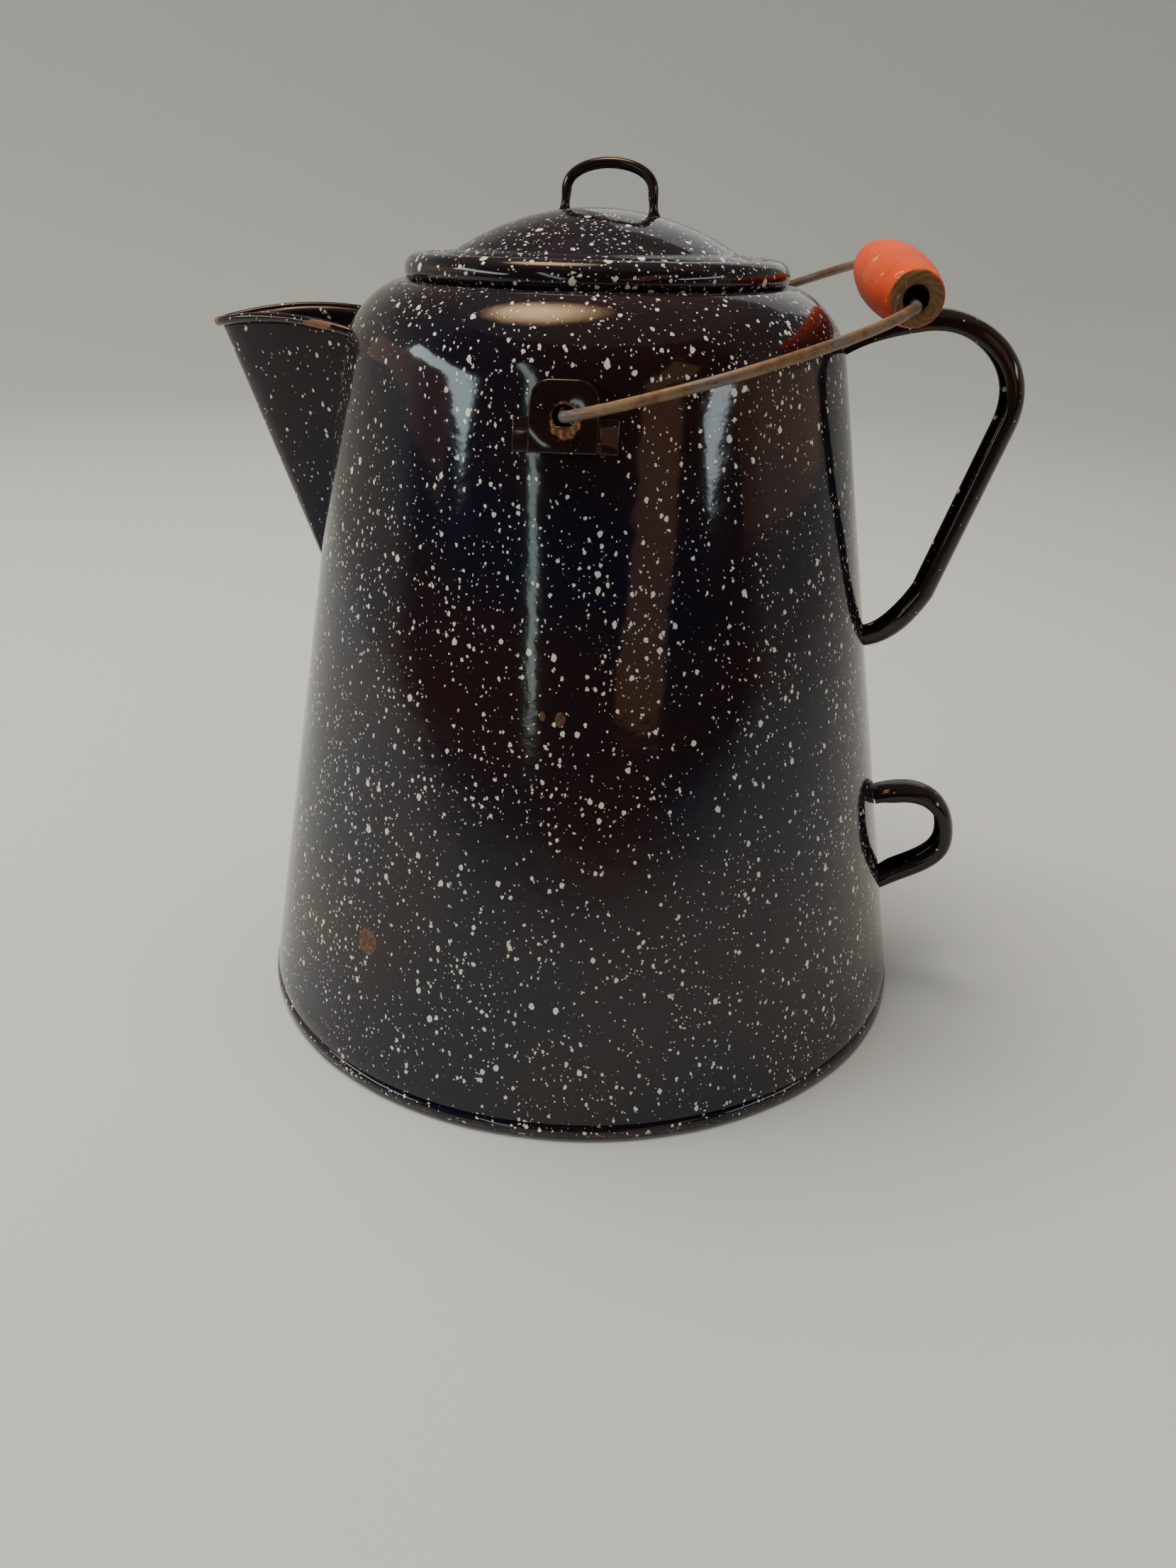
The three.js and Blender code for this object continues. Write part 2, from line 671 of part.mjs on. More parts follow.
const basketGroup = new THREE.Group();
percolator.add(basketGroup);
const sleeveInner = tubeRadius + slideClearance;
const sleeveOuter = sleeveInner + pumpSheet;
const basketTop = basketFloor + basketHeight;
const floorBend = 4;
const basketLine = [
  vec2(sleeveOuter + gap, basketFloor),
  vec2(basketRadius - 1.5 - floorBend, basketFloor),
  ...arc(basketRadius - 1.5 - floorBend, basketFloor + floorBend, floorBend, -60, 0, 3),
  vec2(basketRadius, basketTop - 3),
  vec2(basketRadius + basketRim, basketTop - 2.4),
  vec2(basketRadius + basketRim, basketTop),
];
const basketInner = [
  vec2(basketRadius - pumpSheet, basketTop),
  vec2(basketRadius - pumpSheet, basketTop - 3),
  vec2(basketRadius - 1.5 - pumpSheet, basketFloor + floorBend),
  vec2(basketRadius - 1.5 - floorBend, basketFloor + pumpSheet),
  vec2(sleeveOuter + gap, basketFloor + pumpSheet),
];
const basketOutline = [...basketLine, ...basketInner, basketLine[0].clone()];
const basket = perforate(solid(revolve(basketOutline, fineTurns)), [[16, 6], [28, 12]], basketFloor);
add('basket', geometryOf(basket), aluminium, basketGroup);

const sleeveTop = basketTop - 6;
add('basket_sleeve', revolve([
  vec2(sleeveInner, basketFloor),
  vec2(sleeveOuter, basketFloor),
  vec2(sleeveOuter, sleeveTop),
  vec2(sleeveInner, sleeveTop),
  vec2(sleeveInner, basketFloor),
], 24), aluminium, basketGroup);

const coverRadius = basketRadius - pumpSheet - 0.8; // the cover's plug inside the basket
const coverTop = basketTop + gap + pumpSheet;
const coverLine = [
  vec2(coverRadius - pumpSheet, basketTop - 4),
  vec2(coverRadius, basketTop - 4),
  vec2(coverRadius, basketTop + gap),
  vec2(basketRadius + basketRim, basketTop + gap),
  vec2(basketRadius + basketRim, coverTop),
  vec2(coverRadius - 2, coverTop),
  vec2(sleeveOuter + 6, coverTop + 3),
  vec2(sleeveInner, coverTop + 3),
  vec2(sleeveInner, coverTop + 3 - pumpSheet),
  vec2(sleeveOuter + 6, coverTop + 3 - pumpSheet),
  vec2(coverRadius - pumpSheet, coverTop - pumpSheet),
];
const coverPlate = solid(revolve([...coverLine, coverLine[0].clone()], fineTurns));
const cover = perforate(coverPlate, [[20, 8], [32, 12]], coverTop);
add('basket_cover', geometryOf(cover), aluminium);

export default percolator;
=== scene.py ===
import json
import math

import bmesh
import bpy
from mathutils import Matrix, Quaternion, Vector, noise
from mathutils.geometry import interpolate_bezier


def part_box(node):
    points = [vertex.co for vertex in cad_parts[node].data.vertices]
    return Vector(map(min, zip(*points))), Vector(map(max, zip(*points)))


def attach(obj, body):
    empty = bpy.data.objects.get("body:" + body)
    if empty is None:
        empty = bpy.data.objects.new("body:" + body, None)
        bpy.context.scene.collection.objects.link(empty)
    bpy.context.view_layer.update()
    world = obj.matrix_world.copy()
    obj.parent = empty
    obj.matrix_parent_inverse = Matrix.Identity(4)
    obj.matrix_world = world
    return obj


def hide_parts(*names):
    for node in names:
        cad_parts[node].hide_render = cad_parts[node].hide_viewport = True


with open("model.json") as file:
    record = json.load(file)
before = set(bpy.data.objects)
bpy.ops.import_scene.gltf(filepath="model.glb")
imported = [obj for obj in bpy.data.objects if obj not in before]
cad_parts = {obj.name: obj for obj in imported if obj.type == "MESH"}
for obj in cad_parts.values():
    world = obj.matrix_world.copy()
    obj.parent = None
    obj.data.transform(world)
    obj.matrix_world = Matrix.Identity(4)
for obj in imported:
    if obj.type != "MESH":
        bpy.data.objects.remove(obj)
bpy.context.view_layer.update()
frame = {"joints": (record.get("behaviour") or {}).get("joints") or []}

scene = bpy.context.scene
mm = 0.001


# ---- The view
# Seen by someone standing at the near side of the pot, a little above its shoulder and looking
# down on it, with the spout to the left and the handle to the right.
camera_data = bpy.data.cameras.new("camera")
camera_data.lens = 27.35
camera_data.sensor_width = 36
camera_data.clip_start = 0.02
camera = bpy.data.objects.new("camera", camera_data)
scene.collection.objects.link(camera)
scene.camera = camera
look = Vector((-0.0799, 0.9012, -0.426))
head_tilt = math.radians(1.36)
camera.rotation_mode = "QUATERNION"
camera.rotation_quaternion = look.to_track_quat("-Z", "Y") @ Quaternion((0, 0, 1), head_tilt)
camera.location = Vector((38.9, -428.0, 274.1)) * mm


# ---- The studio
# A round cove of paper: a flat floor that turns up into a wall all round, lit by a broad lamp,
# tall soft boxes and a faint warm sky. Its colour is pale under and behind the pot and painted dark
# in front, a painted shade that the enamel mirrors.
def new_material(name):
    material = bpy.data.materials.new(name)
    material.use_nodes = True
    return material, material.node_tree.nodes, material.node_tree.links


def spun(bm, line, steps):
    """Turn a line of (radius, height) points, in mm, round the Z axis."""
    row = [bm.verts.new((r * mm, 0, z * mm)) for r, z in line]
    edges = [bm.edges.new(pair) for pair in zip(row, row[1:])]
    bmesh.ops.spin(
        bm, geom=row + edges, cent=(0, 0, 0), axis=(0, 0, 1),
        angle=2 * math.pi, steps=steps, use_merge=True,
    )
    bmesh.ops.remove_doubles(bm, verts=bm.verts, dist=1e-6)


def turned(line, steps):
    """A mesh turned from a closed line, with its faces outwards."""
    bm = bmesh.new()
    spun(bm, line, steps)
    bmesh.ops.recalc_face_normals(bm, faces=bm.faces)
    return bm


def stage_piece(name, bm, material):
    """Something that stands round the pot and isn't part of it."""
    mesh = bpy.data.meshes.new(name)
    bm.to_mesh(mesh)
    bm.free()
    mesh.materials.append(material)
    stage_object = bpy.data.objects.new(name, mesh)
    scene.collection.objects.link(stage_object)
    return stage_object


def arc(cx, cy, radius, start, stop, steps):
    """Points on an arc about (cx, cy), from start to stop degrees, both ends included."""
    angles = [math.radians(start + (stop - start) * i / steps) for i in range(steps + 1)]
    return [(cx + radius * math.cos(a), cy + radius * math.sin(a)) for a in angles]


paper, nodes, links = new_material("paper_with_painted_shade")
paper_shader = nodes["Principled BSDF"]
paper_shader.inputs["Roughness"].default_value = 0.9
paper_shader.inputs["Specular IOR Level"].default_value = 0.2
paper_place = nodes.new("ShaderNodeTexCoord").outputs["Object"]
depth = nodes.new("ShaderNodeSeparateXYZ")
links.new(paper_place, depth.inputs[0])
# painted shade: the paper goes from dark in front of the pot to pale under and behind it
fade = nodes.new("ShaderNodeMapRange")
fade.interpolation_type = "SMOOTHSTEP"
fade.inputs["From Min"].default_value = -0.95
fade.inputs["From Max"].default_value = -0.28
links.new(depth.outputs["Y"], fade.inputs["Value"])
paper_painted_shade = nodes.new("ShaderNodeMix")
paper_painted_shade.data_type = "RGBA"
paper_painted_shade.inputs[6].default_value = (0.085, 0.060, 0.056, 1)
paper_painted_shade.inputs[7].default_value = (0.60, 0.635, 0.64, 1)
links.new(fade.outputs["Result"], paper_painted_shade.inputs[0])
links.new(paper_painted_shade.outputs[2], paper_shader.inputs["Base Color"])

floor_radius, cove_radius, cove_height = 2600, 900, 3600
cove_bm = turned([
    (0, 0), (300, 0), (900, 0), (floor_radius - cove_radius, 0),
    *arc(floor_radius - cove_radius, cove_radius, cove_radius, -80, 0, 10),
    (floor_radius, cove_height),
], 96)
bmesh.ops.reverse_faces(cove_bm, faces=cove_bm.faces)
cove = stage_piece("cove", cove_bm, paper)
cove.data.shade_smooth()

sky = bpy.data.worlds.new("sky")
sky.use_nodes = True
sky.node_tree.nodes["Background"].inputs["Color"].default_value = (1.0, 0.86, 0.74, 1)
sky.node_tree.nodes["Background"].inputs["Strength"].default_value = 0.2
scene.world = sky


def soft_box(name, azimuth, distance, low, high, width, power, tint):
    """An upright soft box that faces the pot."""
    light = bpy.data.lights.new(name, "AREA")
    light.shape = "RECTANGLE"
    light.size = width
    light.size_y = high - low
    light.energy = power
    light.color = tint
    lamp = bpy.data.objects.new(name, light)
    angle = math.radians(azimuth)
    middle = (high + low) / 2
    lamp.location = (distance * math.cos(angle), distance * math.sin(angle), middle)
    aim = Vector((0, 0, 0.15)) - Vector(lamp.location)
    aim.z *= 0.35
    lamp.rotation_euler = aim.to_track_quat("-Z", "Z").to_euler()
    scene.collection.objects.link(lamp)


for box in (
    # name, degrees round the pot, distance, lower and upper edge, width in metres, watts, colour
    ("window_left", -157, 1.5, 0.10, 1.30, 0.20, 6, (0.80, 0.96, 1.0)),
    ("window_front", -111, 1.9, 0.00, 1.30, 0.12, 2.2, (0.78, 1.0, 0.92)),
    ("window_right", -22, 1.6, 0.12, 1.10, 0.13, 3, (0.80, 0.94, 1.0)),
    ("curtain_left", 184, 1.6, -0.3, 1.50, 0.42, 1.0, (1.0, 0.50, 0.28)),
    ("curtain_front", -56, 1.9, -0.3, 1.50, 0.50, 2.0, (1.0, 0.50, 0.30)),
    ("curtain_right", 2, 1.6, -0.3, 1.10, 0.34, 0.45, (1.0, 0.40, 0.22)),
    ("wall_back", 75, 2.0, 0.6, 1.9, 1.4, 3, (1, 1, 1)),
):
    soft_box(*box)
overhead = bpy.data.lights.new("overhead", "AREA")
overhead.shape = "DISK"
overhead.size = 1.5
overhead.energy = 46
overhead.color = (1.0, 0.90, 0.77)
overhead_lamp = bpy.data.objects.new("overhead", overhead)
overhead_lamp.location = (-0.45, 0.1, 1.9)
overhead_lamp.visible_glossy = False
scene.collection.objects.link(overhead_lamp)

# what the enamel mirrors of it is a warm glow that fades out towards its edge
glow_middle = (-0.45, 0.1, 1.88)
glow_radius = 0.62
glow, nodes, links = new_material("ceiling_glow")
glow_shader = nodes["Principled BSDF"]
glow_shader.inputs["Base Color"].default_value = (0, 0, 0, 1)
glow_shader.inputs["Specular IOR Level"].default_value = 0.0
glow_shader.inputs["Emission Color"].default_value = (1.0, 0.66, 0.36, 1)
glow_place = nodes.new("ShaderNodeTexCoord").outputs["Object"]
glow_reach = nodes.new("ShaderNodeVectorMath")
glow_reach.operation = "DISTANCE"
glow_reach.inputs[1].default_value = glow_middle
links.new(glow_place, glow_reach.inputs[0])
glow_fade = nodes.new("ShaderNodeMapRange")
glow_fade.interpolation_type = "SMOOTHSTEP"
for name, number in (("From Min", 0.05), ("From Max", glow_radius), ("To Min", 14.0), ("To Max", 0.0)):
    glow_fade.inputs[name].default_value = number
links.new(glow_reach.outputs["Value"], glow_fade.inputs["Value"])
links.new(glow_fade.outputs["Result"], glow_shader.inputs["Emission Strength"])
glow_bm = bmesh.new()
bmesh.ops.create_circle(
    glow_bm, cap_ends=True, radius=glow_radius, segments=48, matrix=Matrix.Translation(glow_middle),
)
glow_card = stage_piece("ceiling_glow", glow_bm, glow)
glow_card.visible_shadow = False
glow_card.visible_diffuse = False


# ---- Pot wall
# One pressing of sheet steel, drawn to a cone, rounded over at the shoulder and turned down
# into a collar at the mouth, then dipped in blue-black enamel that is spattered with cream.
sheet = 1.0
wall_foot = (124.5, 6.5)         # radius and height of the outside, in mm
wall_top = (84.3, 234.0)
slope = math.atan2(wall_foot[0] - wall_top[0], wall_top[1] - wall_foot[1])
shoulder_radius = 29.4
shoulder = (
    wall_top[0] - shoulder_radius * math.cos(slope),
    wall_top[1] - shoulder_radius * math.sin(slope),
)
shoulder_end = 69                # degrees above level
mouth_radius = 51.2
seat_drop = 2.0                  # the lid's seat lies this far below the top of the shoulder


def wall_radius(height):
    """Outside radius of the pot at a height, in mm, on the cone or on the shoulder."""
    if height < wall_top[1]:
        return wall_foot[0] - (height - wall_foot[1]) * math.tan(slope)
    return shoulder[0] + math.sqrt(shoulder_radius ** 2 - (height - shoulder[1]) ** 2)


def math_node(tree, operation, a, b=None, clamp=False):
    """A Math node's output; a and b are sockets or numbers."""
    node = tree.nodes.new("ShaderNodeMath")
    node.operation = operation
    node.use_clamp = clamp
    for socket, value in zip(node.inputs, (a, b)):
        if value is None:
            continue
        if isinstance(value, (int, float)):
            socket.default_value = value
        else:
            tree.links.new(value, socket)
    return node.outputs[0]


def noise_node(tree, vector, scale, detail=3.0, roughness=0.5):
    node = tree.nodes.new("ShaderNodeTexNoise")
    node.inputs["Scale"].default_value = scale
    node.inputs["Detail"].default_value = detail
    node.inputs["Roughness"].default_value = roughness
    tree.links.new(vector, node.inputs["Vector"])
    return node


def ramp(tree, value, low, high, out_low=0.0, out_high=1.0):
    """A smooth step from out_low to out_high as value goes from low to high."""
    node = tree.nodes.new("ShaderNodeMapRange")
    node.interpolation_type = "SMOOTHSTEP"
    for name, number in (("From Min", low), ("From Max", high), ("To Min", out_low), ("To Max", out_high)):
        node.inputs[name].default_value = number
    tree.links.new(value, node.inputs["Value"])
    return node.outputs["Result"]


def mix_colour(tree, share, first, second):
    """Colour mixed from first to second; each is a socket or an RGB triple."""
    node = tree.nodes.new("ShaderNodeMix")
    node.data_type = "RGBA"
    if isinstance(share, (int, float)):
        node.inputs[0].default_value = share
    else:
        tree.links.new(share, node.inputs[0])
    for socket, colour in ((node.inputs[6], first), (node.inputs[7], second)):
        if isinstance(colour, tuple):
            socket.default_value = (*colour, 1)
        else:
            tree.links.new(colour, socket)
    return node.outputs[2]


def bumped(tree, shader, height, strength, distance):
    """Let a height, times a distance in metres, raise the surface of a finish."""
    bump = tree.nodes.new("ShaderNodeBump")
    bump.inputs["Strength"].default_value = strength
    bump.inputs["Distance"].default_value = distance
    tree.links.new(height, bump.inputs["Height"])
    tree.links.new(bump.outputs["Normal"], shader.inputs["Normal"])


def finish(name):
    """A new material: its node tree, its shader, its links and the place on the pot."""
    material, nodes, links = new_material(name)
    place = nodes.new("ShaderNodeTexCoord").outputs["Object"]
    return material, material.node_tree, nodes["Principled BSDF"], links, place


def spatter_layer(tree, vector, cell, share, smallest, largest, soft):
    """Round drops: one chance in each cell of that many mm, from smallest to largest radius."""
    cells = tree.nodes.new("ShaderNodeTexVoronoi")
    cells.inputs["Scale"].default_value = 1000 / cell
    tree.links.new(vector, cells.inputs["Vector"])
    dice = tree.nodes.new("ShaderNodeSeparateColor")
    tree.links.new(cells.outputs["Color"], dice.inputs[0])
    size = math_node(tree, "POWER", dice.outputs["Red"], 1.5)
    size = ramp(tree, size, 0, 1, smallest / cell, largest / cell)
    thick = noise_node(tree, vector, 38, 2.0).outputs[0]
    chance = ramp(tree, thick, 0.36, 0.64, 0.5 * share, 1.45 * share)
    present = math_node(tree, "LESS_THAN", dice.outputs["Green"], chance)
    inside = math_node(tree, "SUBTRACT", size, cells.outputs["Distance"])
    drop = ramp(tree, inside, -soft / cell, soft / cell)
    return math_node(tree, "MULTIPLY", drop, present)


enamel_ior = 1.47
spout_ior = 1.32                 # lower, so that the spout mirrors the pale cove less


def enamel(name, layers, stretch=1.0, tint=(0.0070, 0.0074, 0.0175), wear=None, grain=1.0):
    """Glossy blue-black enamel with cream drops; stretch lengthens the drops down the wall."""
    material, tree, shader, links, place = finish(name)
    squeeze = tree.nodes.new("ShaderNodeMapping")
    squeeze.inputs["Scale"].default_value = (1, 1, 1 / stretch)
    links.new(place, squeeze.inputs["Vector"])
    # drops aren't quite round: their outlines wander by a fraction of a millimetre
    ragged = noise_node(tree, place, 900, 2.0)
    shift = tree.nodes.new("ShaderNodeVectorMath")
    shift.operation = "MULTIPLY_ADD"
    shift.inputs[1].default_value = (0.0011, 0.0011, 0.0011)
    links.new(ragged.outputs["Color"], shift.inputs[0])
    links.new(squeeze.outputs["Vector"], shift.inputs[2])
    drops = None
    for cell, share, smallest, largest, soft in layers:
        layer = spatter_layer(tree, shift.outputs["Vector"], cell, share, smallest, largest, soft)
        drops = layer if drops is None else math_node(tree, "MAXIMUM", drops, layer)
    # the ground colour drifts between blue-black and brown-black where the enamel is thinner
    cloud = ramp(tree, noise_node(tree, place, 14, 3.0).outputs[0], 0.39, 0.65)
    ground = mix_colour(tree, cloud, tint, (0.0190, 0.0092, 0.0094))
    shade = noise_node(tree, place, 420, 2.0).outputs[0]
    cream = mix_colour(tree, shade, (0.70, 0.67, 0.57), (0.92, 0.90, 0.84))
    colour = mix_colour(tree, drops, ground, cream)
    if wear:
        worn, worn_colour = wear(tree, place)
        colour = mix_colour(tree, worn, colour, worn_colour)
        gloss = ramp(tree, worn, 0, 1, 0.085, 0.5)
    else:
        gloss = ramp(tree, noise_node(tree, place, 60, 3.0).outputs[0], 0.3, 0.7, 0.06, 0.12)
    links.new(colour, shader.inputs["Base Color"])
    links.new(gloss, shader.inputs["Roughness"])
    shader.inputs["IOR"].default_value = enamel_ior
    # enamel ripples like orange peel, and each drop stands a little proud
    peel = noise_node(tree, place, 230, 2.0).outputs[0]
    swell = noise_node(tree, place, 45, 2.0).outputs[0]
    height = math_node(tree, "MULTIPLY", peel, 0.04 * grain)
    height = math_node(tree, "ADD", height, math_node(tree, "MULTIPLY", swell, 0.22 * grain))
    height = math_node(tree, "ADD", height, math_node(tree, "MULTIPLY", drops, 0.025))
    bumped(tree, shader, height, 1.0, 0.001)
    return material


def round_patch(tree, place, centre, size, ragged=0.5):
    """A ragged patch about a point in mm: 1 in its middle, 0 outside."""
    offset = tree.nodes.new("ShaderNodeVectorMath")
    offset.operation = "SUBTRACT"
    offset.inputs[1].default_value = Vector(centre) * mm
    tree.links.new(place, offset.inputs[0])
    squash = tree.nodes.new("ShaderNodeVectorMath")
    squash.operation = "DIVIDE"
    squash.inputs[1].default_value = Vector(size) * mm
    tree.links.new(offset.outputs["Vector"], squash.inputs[0])
    reach = tree.nodes.new("ShaderNodeVectorMath")
    reach.operation = "LENGTH"
    tree.links.new(squash.outputs["Vector"], reach.inputs[0])
    edge = noise_node(tree, place, 420, 4.0, 0.65).outputs[0]
    edge = math_node(tree, "MULTIPLY", edge, ragged)
    return ramp(tree, math_node(tree, "ADD", reach.outputs["Value"], edge), 1.18, 1.32, 1.0, 0.0)


def wall_wear(tree, place):
    """Chips down to rusty steel on the near side, and rust where the ear and handles are welded."""
    chip = round_patch(tree, place, (-63.6, -97.1, 54.3), (4.2, 4.2, 4.6))
    for centre, size in (
        ((1.1, -100.9, 140.1), (1.5, 1.5, 2.3)),
        ((-4.3, -100.7, 140.8), (0.9, 0.9, 1.5)),
        ((10.5, -84.5, 216), (2.2, 3, 3.0)),
        ((-11, -84.5, 217), (1.4, 3, 2.2)),
        ((100.5, 1, 128), (3, 4.5, 5.5)),
        ((114.6, -6, 58), (3, 1.8, 11)),
        ((118, -5, 34), (3, 3.2, 4.5)),
    ):
        chip = math_node(tree, "MAXIMUM", chip, round_patch(tree, place, centre, size))
    rust = mix_colour(
        tree, ramp(tree, noise_node(tree, place, 700, 4.0, 0.7).outputs[0], 0.35, 0.7),
        (0.050, 0.020, 0.010), (0.24, 0.105, 0.045),
    )
    return chip, rust


wall_drops = (
    # cell, share of cells with a drop, smallest and largest radius, softness, in mm
    (3.9, 0.38, 0.40, 0.96, 0.09),
    (2.4, 0.80, 0.26, 0.60, 0.07),
    (1.5, 0.75, 0.13, 0.32, 0.05),
)
wall_enamel = enamel("wall_enamel", wall_drops, stretch=1.3, wear=wall_wear)


def piece(name, bm, body, material, replaced=(), sharp=40):
    """Make the mesh an object that rides on a body, stands for CAD nodes and has a finish."""
    mesh = bpy.data.meshes.new(name)
    bm.to_mesh(mesh)
    bm.free()
    mesh.materials.append(material)
    mesh.shade_smooth()
    mesh.set_sharp_from_angle(angle=math.radians(sharp))
    made = bpy.data.objects.new(name, mesh)
    scene.collection.objects.link(made)
    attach(made, body)
    if replaced:
        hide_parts(*replaced)
    return made


def face_outwards(bm, centre):
    """Point the faces of an open shell away from a point, in mm."""
    bmesh.ops.recalc_face_normals(bm, faces=bm.faces)
    middle = Vector(centre) * mm
    lean = sum((f.calc_center_median() - middle).dot(f.normal) * f.calc_area() for f in bm.faces)
    if lean < 0:
        bmesh.ops.reverse_faces(bm, faces=bm.faces)


def thicken(made, thickness, edge=0.25):
    """Give an open shell its sheet thickness, inwards, and soften the cut edges."""
    wall = made.modifiers.new("sheet", "SOLIDIFY")
    wall.thickness = thickness * mm
    wall.offset = -1
    wall.use_even_offset = True
    if edge:
        soften = made.modifiers.new("soft_edges", "BEVEL")
        soften.width = edge * mm
        soften.segments = 2
        soften.limit_method = "ANGLE"
        soften.angle_limit = math.radians(50)


def drilled(made, drill_bm):
    """Cut the holes of a mesh of drills through a piece, modifiers applied."""
    drill_mesh = bpy.data.meshes.new("drill")
    drill_bm.to_mesh(drill_mesh)
    drill_bm.free()
    drill = bpy.data.objects.new("drill", drill_mesh)
    scene.collection.objects.link(drill)
    cut = made.modifiers.new("holes", "BOOLEAN")
    cut.object = drill
    cut.operation = "DIFFERENCE"
    cut.solver = "EXACT"
    bpy.context.view_layer.update()
    graph = bpy.context.evaluated_depsgraph_get()
    shape = bpy.data.meshes.new_from_object(made.evaluated_get(graph))
    made.modifiers.clear()
    made.data = shape
    bpy.data.objects.remove(drill)


def cylinder(bm, radius, length, matrix, segments=20):
    bmesh.ops.create_cone(
        bm, cap_ends=True, segments=segments, radius1=radius * mm, radius2=radius * mm, depth=length * mm,
        matrix=matrix,
    )


crown = arc(*shoulder, shoulder_radius, shoulder_end, shoulder_end, 1)[0]
seat_height = crown[1] - seat_drop
cone_rings = 44
wall_line = [
    (wall_foot[0] + (wall_top[0] - wall_foot[0]) * i / cone_rings,
     wall_foot[1] + (wall_top[1] - wall_foot[1]) * i / cone_rings)
    for i in range(cone_rings)
]
wall_line += arc(*shoulder, shoulder_radius, math.degrees(slope), shoulder_end, 20)
wall_line += [
    (crown[0] - 1.5, crown[1] + 0.1),
    (crown[0] - 2.4, crown[1] - 0.2 * seat_drop),
    (crown[0] - 3.4, crown[1] - 0.7 * seat_drop),
    (crown[0] - 4.7, seat_height),
    *arc(mouth_radius + 2, seat_height - 2, 2, 90, 180, 6),
    (mouth_radius, seat_height - 6),
    (mouth_radius, seat_height - 11),
]
wall_bm = bmesh.new()
spun(wall_bm, wall_line, 192)
face_outwards(wall_bm, (0, 0, 130))
for vert in wall_bm.verts:
    # hammered and enamelled by hand: the wall is out of true by a few hundredths of a millimetre
    out = Vector((vert.co.x, vert.co.y, 0)).normalized()
    vert.co += out * noise.noise(vert.co * 26) * 0.16 * mm
pot_wall = piece("pot_wall", wall_bm, "pot", wall_enamel, ["body_shell"], sharp=60)
thicken(pot_wall, sheet)

# staggered strainer holes through the wall behind the spout
spout_foot_height, spout_half_width, spout_wall_height = 152.5, 25.0, 239.2
hole_diameter, hole_pitch, hole_rows = 5.0, 9.5, 7
strainer_bm = bmesh.new()
for row in range(hole_rows):
    height = spout_foot_height + 16 + row * hole_pitch * 0.87
    share = (height - spout_foot_height) / (spout_wall_height - spout_foot_height)
    room = spout_half_width * share - hole_diameter
    count = max(1, 2 * math.floor(room / hole_pitch + (row % 2) / 2) + 1 - row % 2)
    for i in range(count):
        across = (i - (count - 1) / 2) * hole_pitch
        spot = Vector((-wall_radius(height), across, height)) * mm
        turn = Matrix.Rotation(math.pi / 2 - slope, 4, "Y")
        cylinder(strainer_bm, hole_diameter / 2, 12, Matrix.Translation(spot) @ turn)
drilled(pot_wall, strainer_bm)


# ---- Bottom
# A flat round bottom, folded together with the wall's foot into a rolled seam and enamelled
# with it. The seam stands on the table, and its enamel is worn to brown along the outside.
seam_radius = 3.1
seam_centre = wall_foot[0] + 0.7 - seam_radius


def seam_wear(tree, place):
    """Brown wear in a thin broken line round the outside of the seam."""
    axes = tree.nodes.new("ShaderNodeSeparateXYZ")
    tree.links.new(place, axes.inputs[0])
    height = axes.outputs["Z"]
    low = ramp(tree, height, 0.0004, 0.0016)
    high = ramp(tree, height, 0.0022, 0.0042, 1.0, 0.0)
    band = math_node(tree, "MULTIPLY", low, high)
    broken = ramp(tree, noise_node(tree, place, 120, 5.0, 0.7).outputs[0], 0.46, 0.60)
    return math_node(tree, "MULTIPLY", band, broken), (0.085, 0.038, 0.020)


seam_enamel = enamel("seam_enamel", wall_drops, wear=seam_wear)
bottom_bm = turned([
    (0, 0), (40, 0), (80, 0), (seam_centre - 0.8, 0),
    *arc(seam_centre, seam_radius, seam_radius, -84, 90, 18),
    (seam_centre - 1.4, 2 * seam_radius - 0.3),
    *arc(seam_centre, seam_radius, seam_radius - 0.5, 118, 200, 6),
    (seam_centre - seam_radius - 0.6, sheet + 0.2),
    (80, sheet), (0, sheet),
], 192)
for vert in bottom_bm.verts:
    if vert.co.z > 0.5 * mm:
        out = Vector((vert.co.x, vert.co.y, 0)).normalized()
        vert.co += out * noise.noise(vert.co * 55) * 0.22 * mm
piece("pot_bottom", bottom_bm, "pot", seam_enamel, ["bottom_pan"])


# ---- Spout
# A sheet folded to a V and welded over the strainer holes, with its lip rolled outwards. The
# lip is worn through to copper-brown steel at its tip, and the coffee has browned the inside.
spout_reach, spout_tip_height, spout_arch, lip_tilt = 130.2, 240.6, 4.4, 0.05
spout_root = 70.0
lip_radius = 1.5
spout_foot = Vector((-wall_radius(spout_foot_height), 0, spout_foot_height))


def lip_point(along, side, out=0.0):
    """A point of the lip, in mm, from the tip (0) towards the wall (1), on side -1 or 1."""
    x = -(spout_reach + out - along * (spout_reach + out - spout_root))
    y = side * (spout_half_width + out) * along ** 0.55
    level = spout_tip_height + (spout_wall_height - spout_tip_height) * along
    return Vector((x, y, level + 4 * spout_arch * along * (1 - along) + lip_tilt * y))


def lip_share(u):
    """Side and share along the lip for u from 0 (near wall) through 0.5 (tip) to 1 (far wall)."""
    side = -1 if u < 0.5 else 1
    end = 0.878
    return end * abs(2 * u - 1) ** 1.7, side


def mapped_grid(columns, rows, placed):
    """A grid of faces with each corner put at placed(u, v), in mm; u and v run from 0 to 1."""
    bm = bmesh.new()
    bmesh.ops.create_grid(bm, x_segments=columns, y_segments=rows, size=0.5)
    for vert in bm.verts:
        vert.co = placed(min(max(vert.co.x + 0.5, 0), 1), min(max(vert.co.y + 0.5, 0), 1)) * mm
    return bm


def spout_point(u, v):
    along, side = lip_share(u)
    keel = min(1.0, along / 0.12)
    foot = spout_foot + Vector((0.9 * keel, 2.0 * side * keel, 0.4))
    return lip_point(along, side).lerp(foot, v)


